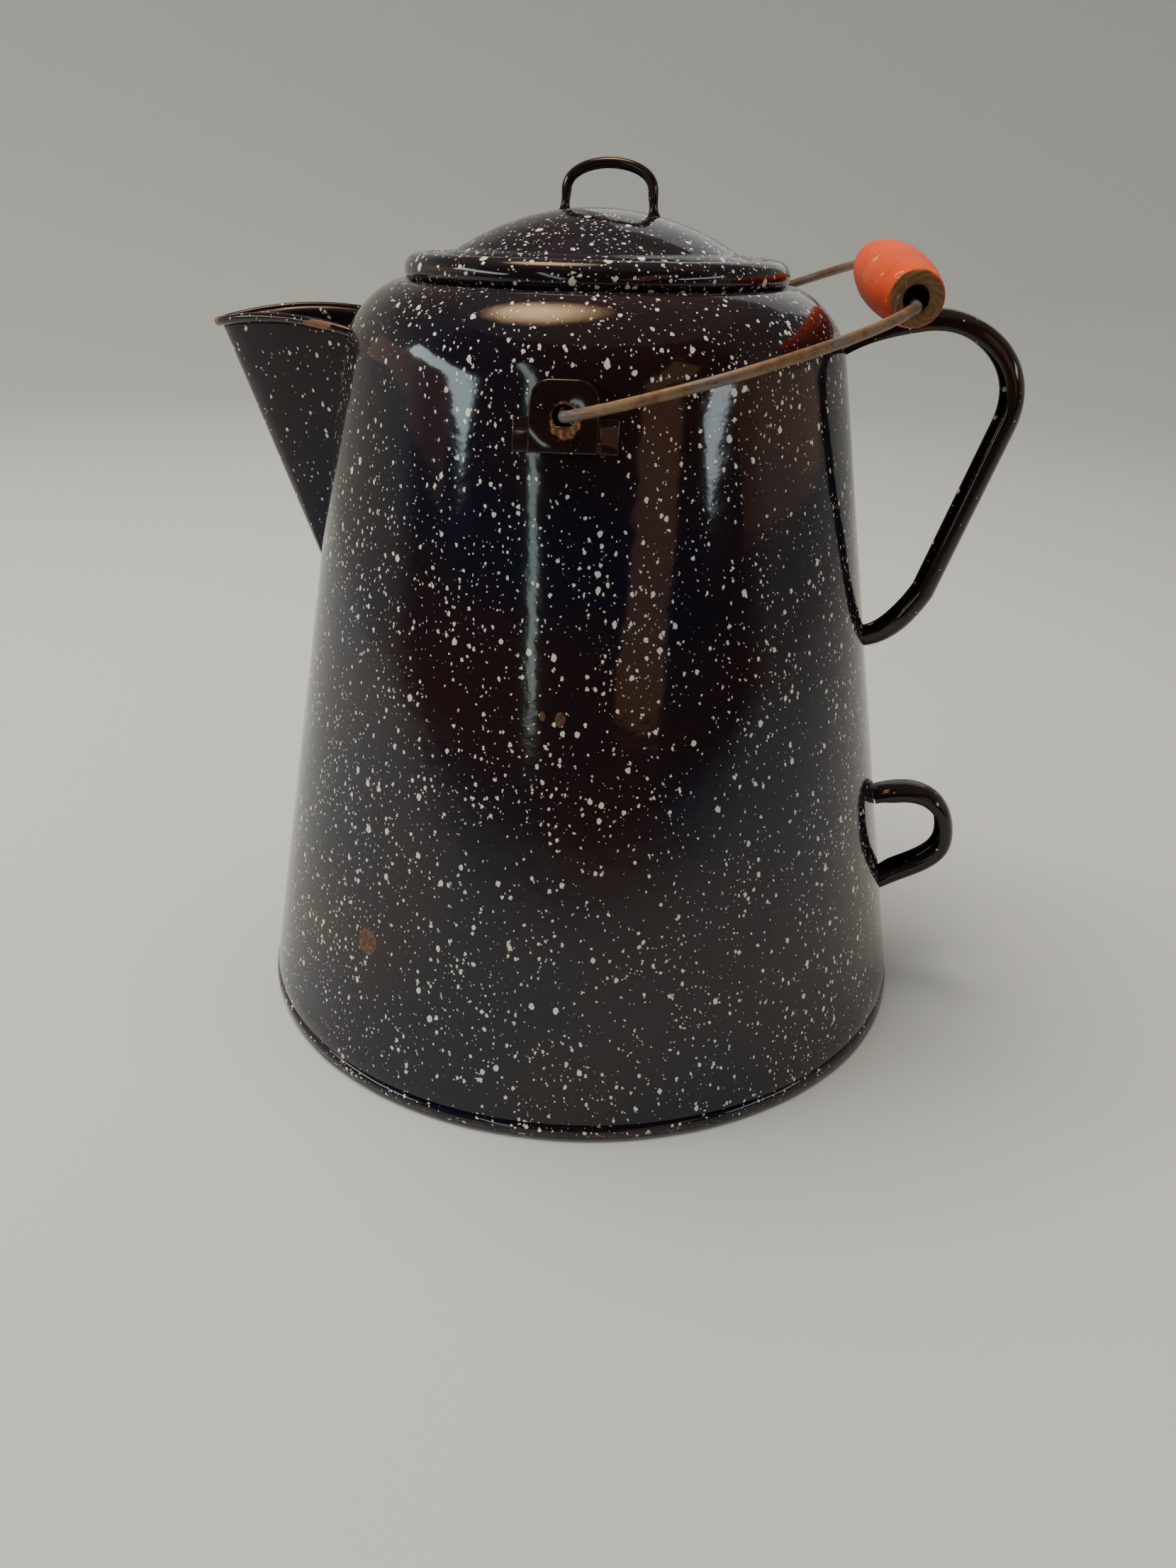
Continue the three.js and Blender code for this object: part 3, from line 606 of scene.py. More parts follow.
def spout_wear(tree, place):
    """Brown bare steel at the tip and in a stretch of the near edge."""
    tip = round_patch(tree, place, (-129, 0, 240.0), (3, 5, 3), 0.8)
    near = round_patch(tree, place, (-93, -21.5, 242.5), (7, 2, 0.9), 0.9)
    return math_node(tree, "MAXIMUM", tip, near), (0.17, 0.080, 0.040)


def inside_wear(tree, place):
    """Brown staining inside the spout, in patches."""
    stain = ramp(tree, noise_node(tree, place, 70, 4.0, 0.6).outputs[0], 0.25, 0.75)
    return math_node(tree, "MULTIPLY", stain, 0.75), (0.032, 0.015, 0.009)


spout_drops = (
    (4.2, 0.34, 0.42, 0.98, 0.09),
    (2.6, 0.58, 0.27, 0.60, 0.07),
    (1.7, 0.45, 0.14, 0.32, 0.05),
)
spout_enamel = enamel("spout_enamel", spout_drops, stretch=1.3, wear=spout_wear)
spout_enamel.node_tree.nodes["Principled BSDF"].inputs["IOR"].default_value = spout_ior
spout_inside = enamel("spout_inside", spout_drops, stretch=1.3, wear=inside_wear)
spout_bm = mapped_grid(72, 40, spout_point)
face_outwards(spout_bm, (-85, 0, 215))
spout_sheet = piece("spout_sheet", spout_bm, "pot", spout_enamel, ["spout"], sharp=60)
spout_sheet.data.materials.append(spout_inside)
thicken(spout_sheet, sheet, edge=0)
spout_sheet.modifiers["sheet"].material_offset = 1


def rod(name, points, radius, body, material, replaced=(), swell=None):
    """A round bar along points, in mm; swell gives its thickness as a share at each point."""
    curve = bpy.data.curves.new(name, "CURVE")
    curve.dimensions = "3D"
    curve.bevel_depth = radius * mm
    curve.bevel_resolution = 6
    curve.use_fill_caps = True
    line = curve.splines.new("POLY")
    line.points.add(len(points) - 1)
    for i, (knot, point) in enumerate(zip(line.points, points)):
        knot.co = (*(point * mm), 1)
        knot.radius = swell(i / (len(points) - 1)) if swell else 1
    draft = bpy.data.objects.new("draft", curve)
    scene.collection.objects.link(draft)
    bpy.context.view_layer.update()
    mesh = bpy.data.meshes.new_from_object(draft.evaluated_get(bpy.context.evaluated_depsgraph_get()))
    bpy.data.objects.remove(draft)
    bar = bmesh.new()
    bar.from_mesh(mesh)
    bmesh.ops.remove_doubles(bar, verts=bar.verts, dist=1e-6)
    bmesh.ops.recalc_face_normals(bar, faces=bar.faces)
    return piece(name, bar, body, material, replaced, sharp=50)


lip_enamel = enamel("lip_enamel", spout_drops, wear=lambda tree, place: (
    math_node(tree, "MAXIMUM", *(
        round_patch(tree, place, centre, size, 0.9)
        for centre, size in (((-131, -1, 240.6), (5, 6, 4)), ((-90, -22.5, 242.0), (8, 3, 2)))
    )), (0.22, 0.105, 0.052)))
lip_steps = 90
lip_points = [
    lip_point(*lip_share(i / lip_steps), out=lip_radius * 0.7) for i in range(lip_steps + 1)
]
rod("spout_lip", lip_points, lip_radius, "pot", lip_enamel)


# ---- Main handle
# A channel pressed from steel strip, its open side towards the hand's gap, welded high on the
# shoulder, where it is pinched almost flat, and half way down the wall.
def bezier_line(corners, count=24):
    """Points on a cubic Bezier curve in the XZ plane; corners are four (x, z) pairs in mm."""
    return interpolate_bezier(*(Vector((x, 0, z)) for x, z in corners), count)


def quadratic(start, middle, end):
    """The four corners of the cubic curve that equals a quadratic one."""
    third = tuple(s + (m - s) * 2 / 3 for s, m in zip(start, middle))
    two_thirds = tuple(e + (m - e) * 2 / 3 for e, m in zip(end, middle))
    return start, third, two_thirds, end


def measured(points, count):
    """The line laid out again at count + 1 even steps, with the distance from its start."""
    runs = [0.0]
    for a, b in zip(points, points[1:]):
        runs.append(runs[-1] + (b - a).length)
    even, i = [], 0
    for step in range(count + 1):
        target = runs[-1] * step / count
        while i < len(runs) - 2 and runs[i + 1] < target:
            i += 1
        share = (target - runs[i]) / max(runs[i + 1] - runs[i], 1e-9)
        even.append(points[i].lerp(points[i + 1], share))
    return even, runs[-1]


def strip(line, rows, columns, section):
    """A pressed strip along a line in the XZ plane. section(u, run, left) gives (across, out)."""
    even, length = measured(line, rows)

    def placed(u, v):
        i = min(round(v * rows), rows)
        ahead = even[min(i + 1, rows)] - even[max(i - 1, 0)]
        outward = Vector((ahead.z, 0, -ahead.x)).normalized()
        across, out = section(u, v * length, (1 - v) * length)
        return even[i] + outward * out + Vector((0, across, 0))

    return mapped_grid(columns, rows, placed)


def smooth_share(value, end):
    share = min(max(value / end, 0), 1)
    return share * share * (3 - 2 * share)


channel_width, channel_depth, channel_sheet = 12.7, 6.9, 1.2
handle_reach, handle_top = 143.6, 252.6
handle_foot_height, handle_neck_height = 135.2, 238.8


def round_back(u, half, depth, curl=0.5):
    """A U with a round back; half is half its width and curl how far its edges turn in."""
    flank = 0.24
    if u < flank or u > 1 - flank:
        side = -1 if u < flank else 1
        down = 1 - (u if u < flank else 1 - u) / flank
        return side * (half - curl * down ** 3), -0.58 * depth - 0.42 * depth * down
    angle = math.pi * (1 - (u - flank) / (1 - 2 * flank))
    return half * math.cos(angle), 0.58 * depth * (math.sin(angle) - 1)


def channel_section(u, run, left):
    """The main handle's channel, squeezed towards both welds."""
    neck = smooth_share(left, 34)
    foot = smooth_share(run, 20)
    half = channel_width / 2 * (0.50 + 0.50 * neck) * (0.62 + 0.38 * foot)
    return round_back(u, half, channel_depth * (0.42 + 0.58 * neck), 0.5 * neck)


foot_at = (wall_radius(handle_foot_height) - 0.6, handle_foot_height)
run_start = (handle_reach - 19.8, handle_foot_height + 20.0)
run_end = (handle_reach - 1.4, handle_top - 40.6)
neck_start = (handle_reach - 36, handle_top - 1.6)
neck_at = (wall_radius(handle_neck_height) - 0.6, handle_neck_height)
handle_line = (
    bezier_line(quadratic(foot_at, (foot_at[0] + 12.6, handle_foot_height + 1.4), run_start))
    + bezier_line((
        run_end, (run_end[0] + 10, run_end[1] + 27.6),
        (neck_start[0] + 15, neck_start[1] + 4.4), neck_start,
    ), 36)
    + bezier_line(quadratic(neck_start, (neck_start[0] - 11, neck_start[1] - 3.2), neck_at))[1:]
)


def handle_wear(tree, place):
    """Rust where the channel is welded to the wall."""
    low = round_patch(tree, place, (102, -3, 131), (2.4, 5, 3), 0.9)
    high = round_patch(tree, place, (84.5, -3, 235.0), (1.8, 4, 1.8), 0.9)
    return math_node(tree, "MAXIMUM", low, high), (0.10, 0.045, 0.022)


trim_drops = (
    (5.0, 0.22, 0.50, 0.95, 0.09),
    (2.8, 0.20, 0.22, 0.50, 0.07),
    (1.8, 0.16, 0.13, 0.28, 0.05),
)
trim_tint = (0.0160, 0.0095, 0.0070)
handle_enamel = enamel("handle_enamel", trim_drops, tint=trim_tint, wear=handle_wear, grain=0.6)
handle_bm = strip(handle_line, 150, 30, channel_section)
face_outwards(handle_bm, (108, 0, 200))
main_handle = piece("channel_handle", handle_bm, "pot", handle_enamel, ["main_handle"])
thicken(main_handle, channel_sheet, edge=0.35)


# ---- Tilting handle
# A short loop of the same pressed channel, welded low on the wall under the main handle, to
# lift the pot's foot while it is poured.
strap_width, strap_depth = 13.4, 6.2
tilt_reach, tilt_top_height, tilt_foot_height = 145.0, 78.6, 35.4


def strap_section(u, run, left):
    """The same channel in a smaller size, a little flatter at both welds."""
    ends = min(smooth_share(run, 9), smooth_share(left, 9))
    return round_back(u, strap_width / 2, strap_depth * (0.75 + 0.25 * ends))


tilt_span = tilt_top_height - tilt_foot_height
tilt_middle = (tilt_reach, tilt_foot_height + 0.61 * tilt_span)
tilt_top = (wall_radius(tilt_top_height) - 0.5, tilt_top_height - 0.8)
tilt_foot = (wall_radius(tilt_foot_height) - 0.5, tilt_foot_height - 0.4)
tilt_line = (
    bezier_line((
        tilt_foot, (tilt_foot[0] + 14.8, tilt_foot[1] + 8.4),
        (tilt_reach + 1.9, tilt_middle[1] - 15), tilt_middle,
    ), 30)
    + bezier_line((
        tilt_middle, (tilt_reach - 2.4, tilt_middle[1] + 20), (tilt_top[0] + 14, tilt_top[1] + 7), tilt_top,
    ), 30)[1:]
)


def tilt_wear(tree, place):
    weld = round_patch(tree, place, (112, -8.5, 75.5), (7, 2.5, 2.2), 0.9)
    chip = round_patch(tree, place, (137, 2, 80.5), (2.4, 1.8, 1.6))
    return math_node(tree, "MAXIMUM", weld, chip), (0.13, 0.060, 0.028)


tilt_enamel = enamel("tilt_enamel", trim_drops, tint=trim_tint, wear=tilt_wear, grain=0.6)
tilt_bm = strip(tilt_line, 110, 28, strap_section)
face_outwards(tilt_bm, (124, 0, 60))
tilt_handle = piece("tilting_handle", tilt_bm, "pot", tilt_enamel, ["tilt_handle"])
thicken(tilt_handle, channel_sheet, edge=0.35)


# ---- Bail ears
# Half-box pressings spot-welded to the wall at the two sides. The raised plate has a rounded
# top and a hole for the wire, and a narrow flange on each side lies on the wall.
pivot_height = 226.0
ear_width, ear_height, ear_stand_off, ear_corner = 19.6, 19.6, 6.8, 6.0
flange_width, flange_height, ear_hole = 30.4, 12.6, 3.3


def ear_outline():
    """The plate's outline, (across, up) in mm about the pivot, from low left over to low right."""
    half, low, spring = ear_width / 2, -ear_height / 2, ear_height / 2 - ear_corner
    left = arc(ear_corner - half, spring, ear_corner, 180, 90, 8)
    right = arc(half - ear_corner, spring, ear_corner, 90, 0, 8)
    return [(-half, low), (-half, 0), *left, (0, ear_height / 2), *right, (half, 0), (half, low)]


def ear_pressing(side):
    """One ear, at side -1 (near) or 1 (far)."""
    bm = bmesh.new()
    rim = [bm.verts.new((x * mm, 0, z * mm)) for x, z in ear_outline()]
    count = len(rim)
    hole = []
    for vert in rim:
        angle = math.atan2(vert.co.z, vert.co.x)
        drop = 1.0 + 0.5 * max(0, -math.sin(angle)) ** 5     # the hole is punched as a tear drop
        hole.append(bm.verts.new((
            ear_hole * math.cos(angle) * mm, 0, ear_hole * drop * math.sin(angle) * mm)))
    for ring in (rim, hole):
        for i in range(count):
            bm.edges.new((ring[i], ring[(i + 1) % count]))
    bmesh.ops.bridge_loops(bm, edges=bm.edges)
    # the sides and the rounded top turn back to the wall; the foot stays open
    foot_corners = {rim[0], rim[-1]}
    around = [e for e in bm.edges if set(e.verts) <= set(rim) and set(e.verts) != foot_corners]
    back = bmesh.ops.extrude_edge_only(bm, edges=around)["geom"]
    turned = [v for v in back if isinstance(v, bmesh.types.BMVert)]
    bmesh.ops.translate(bm, verts=turned, vec=(0, (ear_stand_off + 1.0) * mm, 0))
    # a flange on each side, turned out flat along the wall
    for end in (-1, 1):
        edges = [
            e for e in bm.edges
            if e.is_boundary and all(v in turned for v in e.verts)
            and all(v.co.x * end > (ear_width / 2 - 0.1) * mm and v.co.z < 0.2 * mm for v in e.verts)
        ]
        for v in {v for e in edges for v in e.verts}:
            v.co.y = (ear_stand_off - 1.4) * mm
        out = bmesh.ops.extrude_edge_only(bm, edges=edges)["geom"]
        corners = [v for v in out if isinstance(v, bmesh.types.BMVert)]
        reach = (flange_width - ear_width) / 2
        bmesh.ops.translate(bm, verts=corners, vec=(end * reach * mm, 0, 0))
        for v in corners:
            v.co.y += 0.75 * mm
            v.co.z = min(v.co.z, (flange_height - ear_height / 2) * mm)
    face_outwards(bm, (0, 6, 0))
    stand = Matrix.Translation((0, -(wall_radius(pivot_height) + ear_stand_off) * mm, pivot_height * mm))
    lean = Matrix.Rotation(-slope, 4, "X")
    bmesh.ops.transform(bm, matrix=stand @ lean, verts=bm.verts)
    if side > 0:
        bmesh.ops.rotate(bm, cent=(0, 0, 0), matrix=Matrix.Rotation(math.pi, 3, "Z"), verts=bm.verts)
    return bm


def ear_rust_and_highlight(side):
    """Rust round the hole, where the wire has rubbed, and along the plate's bare foot; along its top edge,
    golden-brown rust that is partly a painted highlight.
    """
    y = side * (wall_radius(pivot_height) + ear_stand_off)

    def wear(tree, place):
        hole = round_patch(tree, place, (0.6, y, pivot_height - 1.2), (5.0, 4, 6.0), 0.8)
        # along the rounded top edge the golden-brown is partly rust and partly a painted highlight
        edge = round_patch(tree, place, (0, y + side * 0.4, pivot_height + 11.5), (13, 3.2, 4.2), 1.0)
        foot = round_patch(tree, place, (0, y, pivot_height - 11.2), (13, 4, 2.0), 0.9)
        worn = math_node(tree, "MAXIMUM", math_node(tree, "MAXIMUM", hole, edge), foot)
        # the bright end of this rust colour also serves as the painted highlight on the top edge
        rust = mix_colour(
            tree, ramp(tree, noise_node(tree, place, 900, 4.0, 0.7).outputs[0], 0.4, 0.65),
            (0.09, 0.040, 0.020), (0.42, 0.190, 0.070),
        )
        return worn, rust

    return wear


for ear_name, ear_node, side in (
    ("near_ear", "bail_ear_near", -1),
    ("far_ear", "bail_ear_far", 1),
):
    look_of_ear = enamel(ear_name + "_enamel", trim_drops, tint=trim_tint, wear=ear_rust_and_highlight(side), grain=0.6)
    ear = piece(ear_name, ear_pressing(side), "pot", look_of_ear, [ear_node])
    thicken(ear, channel_sheet, edge=0.45)


# ---- Lid
# A domed pressing whose edge is rolled out and under into a fat hollow rim, with a loop of
# enamelled rod welded on the middle, a little turned and off centre.
rim_radius, rim_roll = 58.4, 4.95
crown_radius, crown_rise = 88.0, 19.3
rim_height = seat_height + 0.3 + rim_roll
crown_height = rim_height + crown_rise
valley = (rim_radius - 5.4, rim_height + 3.6)
dome_edge = math.degrees(math.acos((valley[0] - 6) / crown_radius))
collar_drop = 21.0
collar_outer = mouth_radius - 0.5
collar_top = valley[1] - sheet - 0.3
roll_start = 180 - math.degrees(math.asin((collar_top - sheet - 0.3 - rim_height) / rim_roll))


def lid_wear(tree, place):
    """A chip on the rim."""
    chip = round_patch(tree, place, (26, -57, 254.5), (3.4, 3, 1.6), 0.9)
    return chip, (0.20, 0.09, 0.05)


lid_drops = (
    (4.6, 0.44, 0.50, 1.35, 0.11),
    (2.5, 0.92, 0.28, 0.68, 0.08),
    (1.5, 0.80, 0.14, 0.34, 0.05),
)
lid_enamel = enamel("lid_enamel", lid_drops, wear=lid_wear)
lid_bm = bmesh.new()
spun(lid_bm, [
    *arc(rim_radius, rim_height, rim_roll, roll_start, 485, 34),
    (valley[0] + 0.3, valley[1] + 0.1),
    valley,
    (valley[0] - 1.2, valley[1] + 0.3),
    (valley[0] - 2.8, valley[1] + 1.1),
    (valley[0] - 4.4, valley[1] + 2.2),
    *arc(0, crown_height - crown_radius, crown_radius, dome_edge, 90, 24),
], 160)
face_outwards(lid_bm, (0, 0, rim_height))
for vert in lid_bm.verts:
    vert.co.z += noise.noise(vert.co * 24) * 0.22 * mm
lid_pressing = piece("lid_pressing", lid_bm, "lid", lid_enamel, ["lid_dome"], sharp=70)
thicken(lid_pressing, 0.9, edge=0)

skirt_bm = bmesh.new()
spun(skirt_bm, [
    (rim_radius - 2.7, collar_top - sheet / 2),
    (collar_outer + 1.2, collar_top - sheet / 2),
    *arc(collar_outer + 1.2, collar_top - sheet / 2 - 1.2, 1.2, 90, 180, 5),
    (collar_outer, collar_top - 8),
    (collar_outer, collar_top - collar_drop + 0.4),
], 160)
face_outwards(skirt_bm, (0, 0, collar_top - 12))
skirt = piece("lid_skirt", skirt_bm, "lid", lid_enamel, ["lid_collar"], sharp=60)
thicken(skirt, sheet, edge=0.2)

loop_rod, loop_half_span, loop_rise, loop_offset = 3.4, 14.7, 33.8, 3.5
loop_turn = math.radians(-14)
loop_top = rim_height + loop_rise - loop_rod / 2
loop_shoulder = loop_top - 7.7
loop_peak = loop_top + (loop_top - loop_shoulder) / 3


def dome_height(x):
    return crown_height - crown_radius + math.sqrt(crown_radius ** 2 - x * x)


loop_right = loop_half_span + 0.5 + loop_offset
loop_left = -loop_half_span - 0.5 + loop_offset
loop_line = [Vector((loop_right, 0, dome_height(loop_right) - 0.6 + 0.5 * i)) for i in range(3)]
loop_line += bezier_line((
    (loop_half_span + loop_offset, loop_shoulder), (loop_half_span - 0.3 + loop_offset, loop_peak),
    (loop_offset - loop_half_span + 0.3, loop_peak), (loop_offset - loop_half_span, loop_shoulder),
), 60)
loop_line += [Vector((loop_left, 0, dome_height(loop_left) + 0.4 - 0.5 * i)) for i in range(3)]
loop_line, loop_length = measured(loop_line, 110)
loop_points = [Matrix.Rotation(loop_turn, 3, "Z") @ point for point in loop_line]


def loop_swell(share):
    """The rod is struck thinner just above each foot and spreads where it meets the dome."""
    left = min(share, 1 - share) * loop_length
    return 1 - 0.16 * math.exp(-((left - 3.2) / 2.2) ** 2) + 0.35 * math.exp(-(left / 0.9) ** 2)


loop_enamel = enamel("loop_enamel", trim_drops, tint=trim_tint, grain=0.6)
rod("lid_loop", loop_points, loop_rod / 2, "lid", loop_enamel, ["lid_handle"], loop_swell)


# ---- Bail
# A single hard steel wire, hooked through both ears and bent to an arch. It is bare, and dull
# tan-brown with age, and it has been bent out of true, so the far leg stands a little higher.
wire, wire_lean, wire_skew, wire_stretch = 3.2, 18.9, 5.8, 0.012
bail_reach, bail_bow = 102.8, 104.5
grip_length, grip_end, grip_belly, grip_bore = 95.5, 16.4, 22.0, 7.6
ear_face = wall_radius(pivot_height) + ear_stand_off
leg_start = ear_face + wire / 2 + 1.2
axle_corner = grip_length / 2 + wire / 2 + 2.2


def bail_point(reach, width, side):
    """A point of the wire: distance from the pivot line, half-width, side of the pot."""
    share = side * min(width, axle_corner) / axle_corner
    lean = math.radians(wire_lean + share * wire_skew / 2)
    length = reach * (1 + share * wire_stretch)
    return Vector((length * math.cos(lean), side * width, pivot_height + length * math.sin(lean)))


def bail_side(side):
    """The wire's middle on one side, from inside the ear to the middle of the grip."""
    hook = bezier_line((
        (0, leg_start - 3.4), (0, leg_start - 0.9), (0.8, leg_start - 0.2), (3.4, leg_start + 0.3),
    ), 10)
    leg = bezier_line((
        (3.4, leg_start + 0.3), (0.34 * bail_reach, bail_bow + 9.5), (0.8 * bail_reach, bail_bow - 2),
        (bail_reach - 2.6, axle_corner + 2.6),
    ), 60)
    corner = bezier_line((
        (bail_reach - 2.6, axle_corner + 2.6), (bail_reach - 0.7, axle_corner + 0.7),
        (bail_reach, axle_corner - 0.4), (bail_reach, axle_corner - 3.5),
    ), 10)
    flat = [(0, ear_face - 4.6)] + [(p.x, p.z) for p in hook + leg[1:] + corner[1:]]
    return [bail_point(reach, width, side) for reach, width in flat]


def old_wire():
    """Bare steel gone tan and brown, greyer where it has been rubbed."""
    material, tree, shader, links, place = finish("old_wire")
    mottle = noise_node(tree, place, 130, 5.0, 0.65).outputs[0]
    fine = noise_node(tree, place, 1100, 3.0, 0.6).outputs[0]
    brown = mix_colour(tree, ramp(tree, mottle, 0.38, 0.62), (0.150, 0.080, 0.038), (0.26, 0.165, 0.092))
    grey = ramp(tree, noise_node(tree, place, 38, 3.0).outputs[0], 0.52, 0.66)
    colour = mix_colour(tree, grey, brown, (0.175, 0.145, 0.135))
    pits = ramp(tree, fine, 0.60, 0.72)
    links.new(mix_colour(tree, pits, colour, (0.045, 0.024, 0.014)), shader.inputs["Base Color"])
    links.new(ramp(tree, mottle, 0.3, 0.7, 0.34, 0.56), shader.inputs["Roughness"])
    shader.inputs["Metallic"].default_value = 0.35
    bumped(tree, shader, fine, 0.35, 0.0004)
    return material


wire_line = measured(bail_side(-1) + bail_side(1)[::-1], 420)[0]
wire_line = [p + Vector((0, 0, noise.noise(p * 0.03) * 0.35)) for p in wire_line]
rod("bail", wire_line, wire / 2, "bail", old_wire(), ["bail_wire"])


# ---- Grip
# A barrel of hardwood turned on a lathe, bored through and threaded loosely on the bail. It is
# painted orange-red; its ends are bare, brown with handling, and the paint is chipped.
def painted_wood():
    material, tree, shader, links, place = finish("grip_paint")
    shade = noise_node(tree, place, 45, 4.0, 0.6).outputs[0]
    paint = mix_colour(tree, ramp(tree, shade, 0.3, 0.7), (0.60, 0.045, 0.006), (0.74, 0.090, 0.012))
    grime = ramp(tree, noise_node(tree, place, 160, 5.0, 0.7).outputs[0], 0.56, 0.75)
    paint = mix_colour(tree, math_node(tree, "MULTIPLY", grime, 0.55), paint, (0.24, 0.030, 0.010))
    squeeze = tree.nodes.new("ShaderNodeMapping")
    squeeze.inputs["Scale"].default_value = (1, 0.45, 1)
    links.new(place, squeeze.inputs["Vector"])
    nick = noise_node(tree, squeeze.outputs["Vector"], 330, 4.0, 0.62).outputs[0]
    sparse = noise_node(tree, place, 60, 2.0).outputs[0]
    chipped = math_node(tree, "MULTIPLY", ramp(tree, nick, 0.62, 0.66), ramp(tree, sparse, 0.46, 0.56))
    links.new(mix_colour(tree, chipped, paint, (0.62, 0.36, 0.14)), shader.inputs["Base Color"])
    links.new(ramp(tree, shade, 0.3, 0.7, 0.50, 0.64), shader.inputs["Roughness"])
    shader.inputs["Specular IOR Level"].default_value = 0.3
    height = math_node(tree, "SUBTRACT", math_node(tree, "MULTIPLY", shade, 0.3), chipped)
    bumped(tree, shader, height, 0.6, 0.0003)
    return material


def shaded_bore():
    # the inside of the bore, bare wood painted near black: a painted shade in the narrow hole
    material, nodes, links = new_material("grip_bore")
    nodes["Principled BSDF"].inputs["Base Color"].default_value = (0.012, 0.008, 0.006, 1)
    nodes["Principled BSDF"].inputs["Roughness"].default_value = 0.85
    return material


def end_grain(centre):
    """Bare brown wood: growth rings about the barrel's axis, dark pores and pale scratches."""
    material, tree, shader, links, place = finish("grip_end_grain")
    offset = tree.nodes.new("ShaderNodeMapping")
    offset.inputs["Location"].default_value = (-centre.x - 0.004, 0, -centre.z + 0.006)
    links.new(place, offset.inputs["Vector"])
    rings = tree.nodes.new("ShaderNodeTexWave")
    rings.wave_type = "RINGS"
    rings.rings_direction = "Y"
    rings.inputs["Scale"].default_value = 190
    rings.inputs["Distortion"].default_value = 3.5
    rings.inputs["Detail"].default_value = 3
    links.new(offset.outputs["Vector"], rings.inputs["Vector"])
    base = mix_colour(tree, rings.outputs["Fac"], (0.150, 0.066, 0.022), (0.205, 0.098, 0.036))
    pores = ramp(tree, noise_node(tree, place, 1500, 3.0, 0.7).outputs[0], 0.56, 0.68)
    base = mix_colour(tree, pores, base, (0.045, 0.018, 0.009))
    scrape = tree.nodes.new("ShaderNodeMapping")
    scrape.inputs["Rotation"].default_value = (0, 0.7, 0)
    scrape.inputs["Scale"].default_value = (1, 1, 0.28)
    links.new(place, scrape.inputs["Vector"])
    scratches = ramp(tree, noise_node(tree, scrape.outputs["Vector"], 620, 4.0, 0.6).outputs[0], 0.61, 0.68)
    links.new(mix_colour(tree, scratches, base, (0.46, 0.32, 0.18)), shader.inputs["Base Color"])
    shader.inputs["Roughness"].default_value = 0.62
    bumped(tree, shader, rings.outputs["Fac"], 0.5, 0.0003)
    return material


spin_joint = next(joint for joint in frame["joints"] if joint["name"] == "grip_spin")
grip_centre = Vector(spin_joint["pos_m"])
grip_axis = Vector(spin_joint["axis"])
half_grip = grip_length / 2
grip_steps = 36
barrel = []
for i in range(grip_steps + 1):
    along = 2 * i / grip_steps - 1
    swell = (grip_belly - grip_end) * (1 - abs(along) ** 2.2)
    barrel.append(((grip_end + swell) / 2, along * (half_grip - 0.9)))
bore = grip_bore / 2
grip_bm = turned([
    (bore, 0), (bore, -half_grip + 0.8), (bore + 0.8, -half_grip), (5.6, -half_grip),
    (grip_end / 2 - 0.9, -half_grip), (grip_end / 2 - 0.25, -half_grip + 0.3), *barrel,
    (grip_end / 2 - 0.25, half_grip - 0.3), (grip_end / 2 - 0.9, half_grip), (5.6, half_grip),
    (bore + 0.8, half_grip), (bore, half_grip - 0.8), (bore, 0),
], 96)
for vert in grip_bm.verts:
    dent = noise.noise(vert.co * 180) * 0.10 + noise.noise(vert.co * 420) * 0.06
    vert.co += Vector((vert.co.x, vert.co.y, 0)).normalized() * dent * mm
# faces at the ends take the bare end grain, and faces in the bore the painted shade
for face in grip_bm.faces:
    middle = face.calc_center_median()
    if abs(middle.z) > (half_grip - 0.55) * mm:
        face.material_index = 1
    elif middle.xy.length < (bore + 1) * mm:
        face.material_index = 2
bmesh.ops.transform(
    grip_bm, verts=grip_bm.verts,
    matrix=Matrix.Translation(grip_centre) @ grip_axis.to_track_quat("Z", "X").to_matrix().to_4x4(),
)
grip = piece("wooden_grip", grip_bm, "grip", painted_wood(), ["bail_grip"], sharp=50)
grip.data.materials.append(end_grain(grip_centre))
grip.data.materials.append(shaded_bore())


# ---- Pump
# Spun aluminium: a bell that stands on the bottom and traps the boiling water, the tube that
# the water climbs, and a crimped ring that carries the basket. It lifts out as one.
def spun_aluminium():
    material, tree, shader, links, place = finish("spun_aluminium")
    squeeze = tree.nodes.new("ShaderNodeMapping")
    squeeze.inputs["Scale"].default_value = (0.06, 0.06, 1)
    links.new(place, squeeze.inputs["Vector"])
    lines = noise_node(tree, squeeze.outputs["Vector"], 1900, 3.0, 0.6).outputs[0]
    stain = noise_node(tree, place, 55, 4.0, 0.6).outputs[0]
    metal = mix_colour(tree, ramp(tree, stain, 0.35, 0.75), (0.70, 0.71, 0.72), (0.46, 0.42, 0.36))
    links.new(metal, shader.inputs["Base Color"])
    links.new(ramp(tree, lines, 0.3, 0.7, 0.26, 0.42), shader.inputs["Roughness"])
    shader.inputs["Metallic"].default_value = 0.95
    bumped(tree, shader, lines, 0.25, 0.0002)
    return material


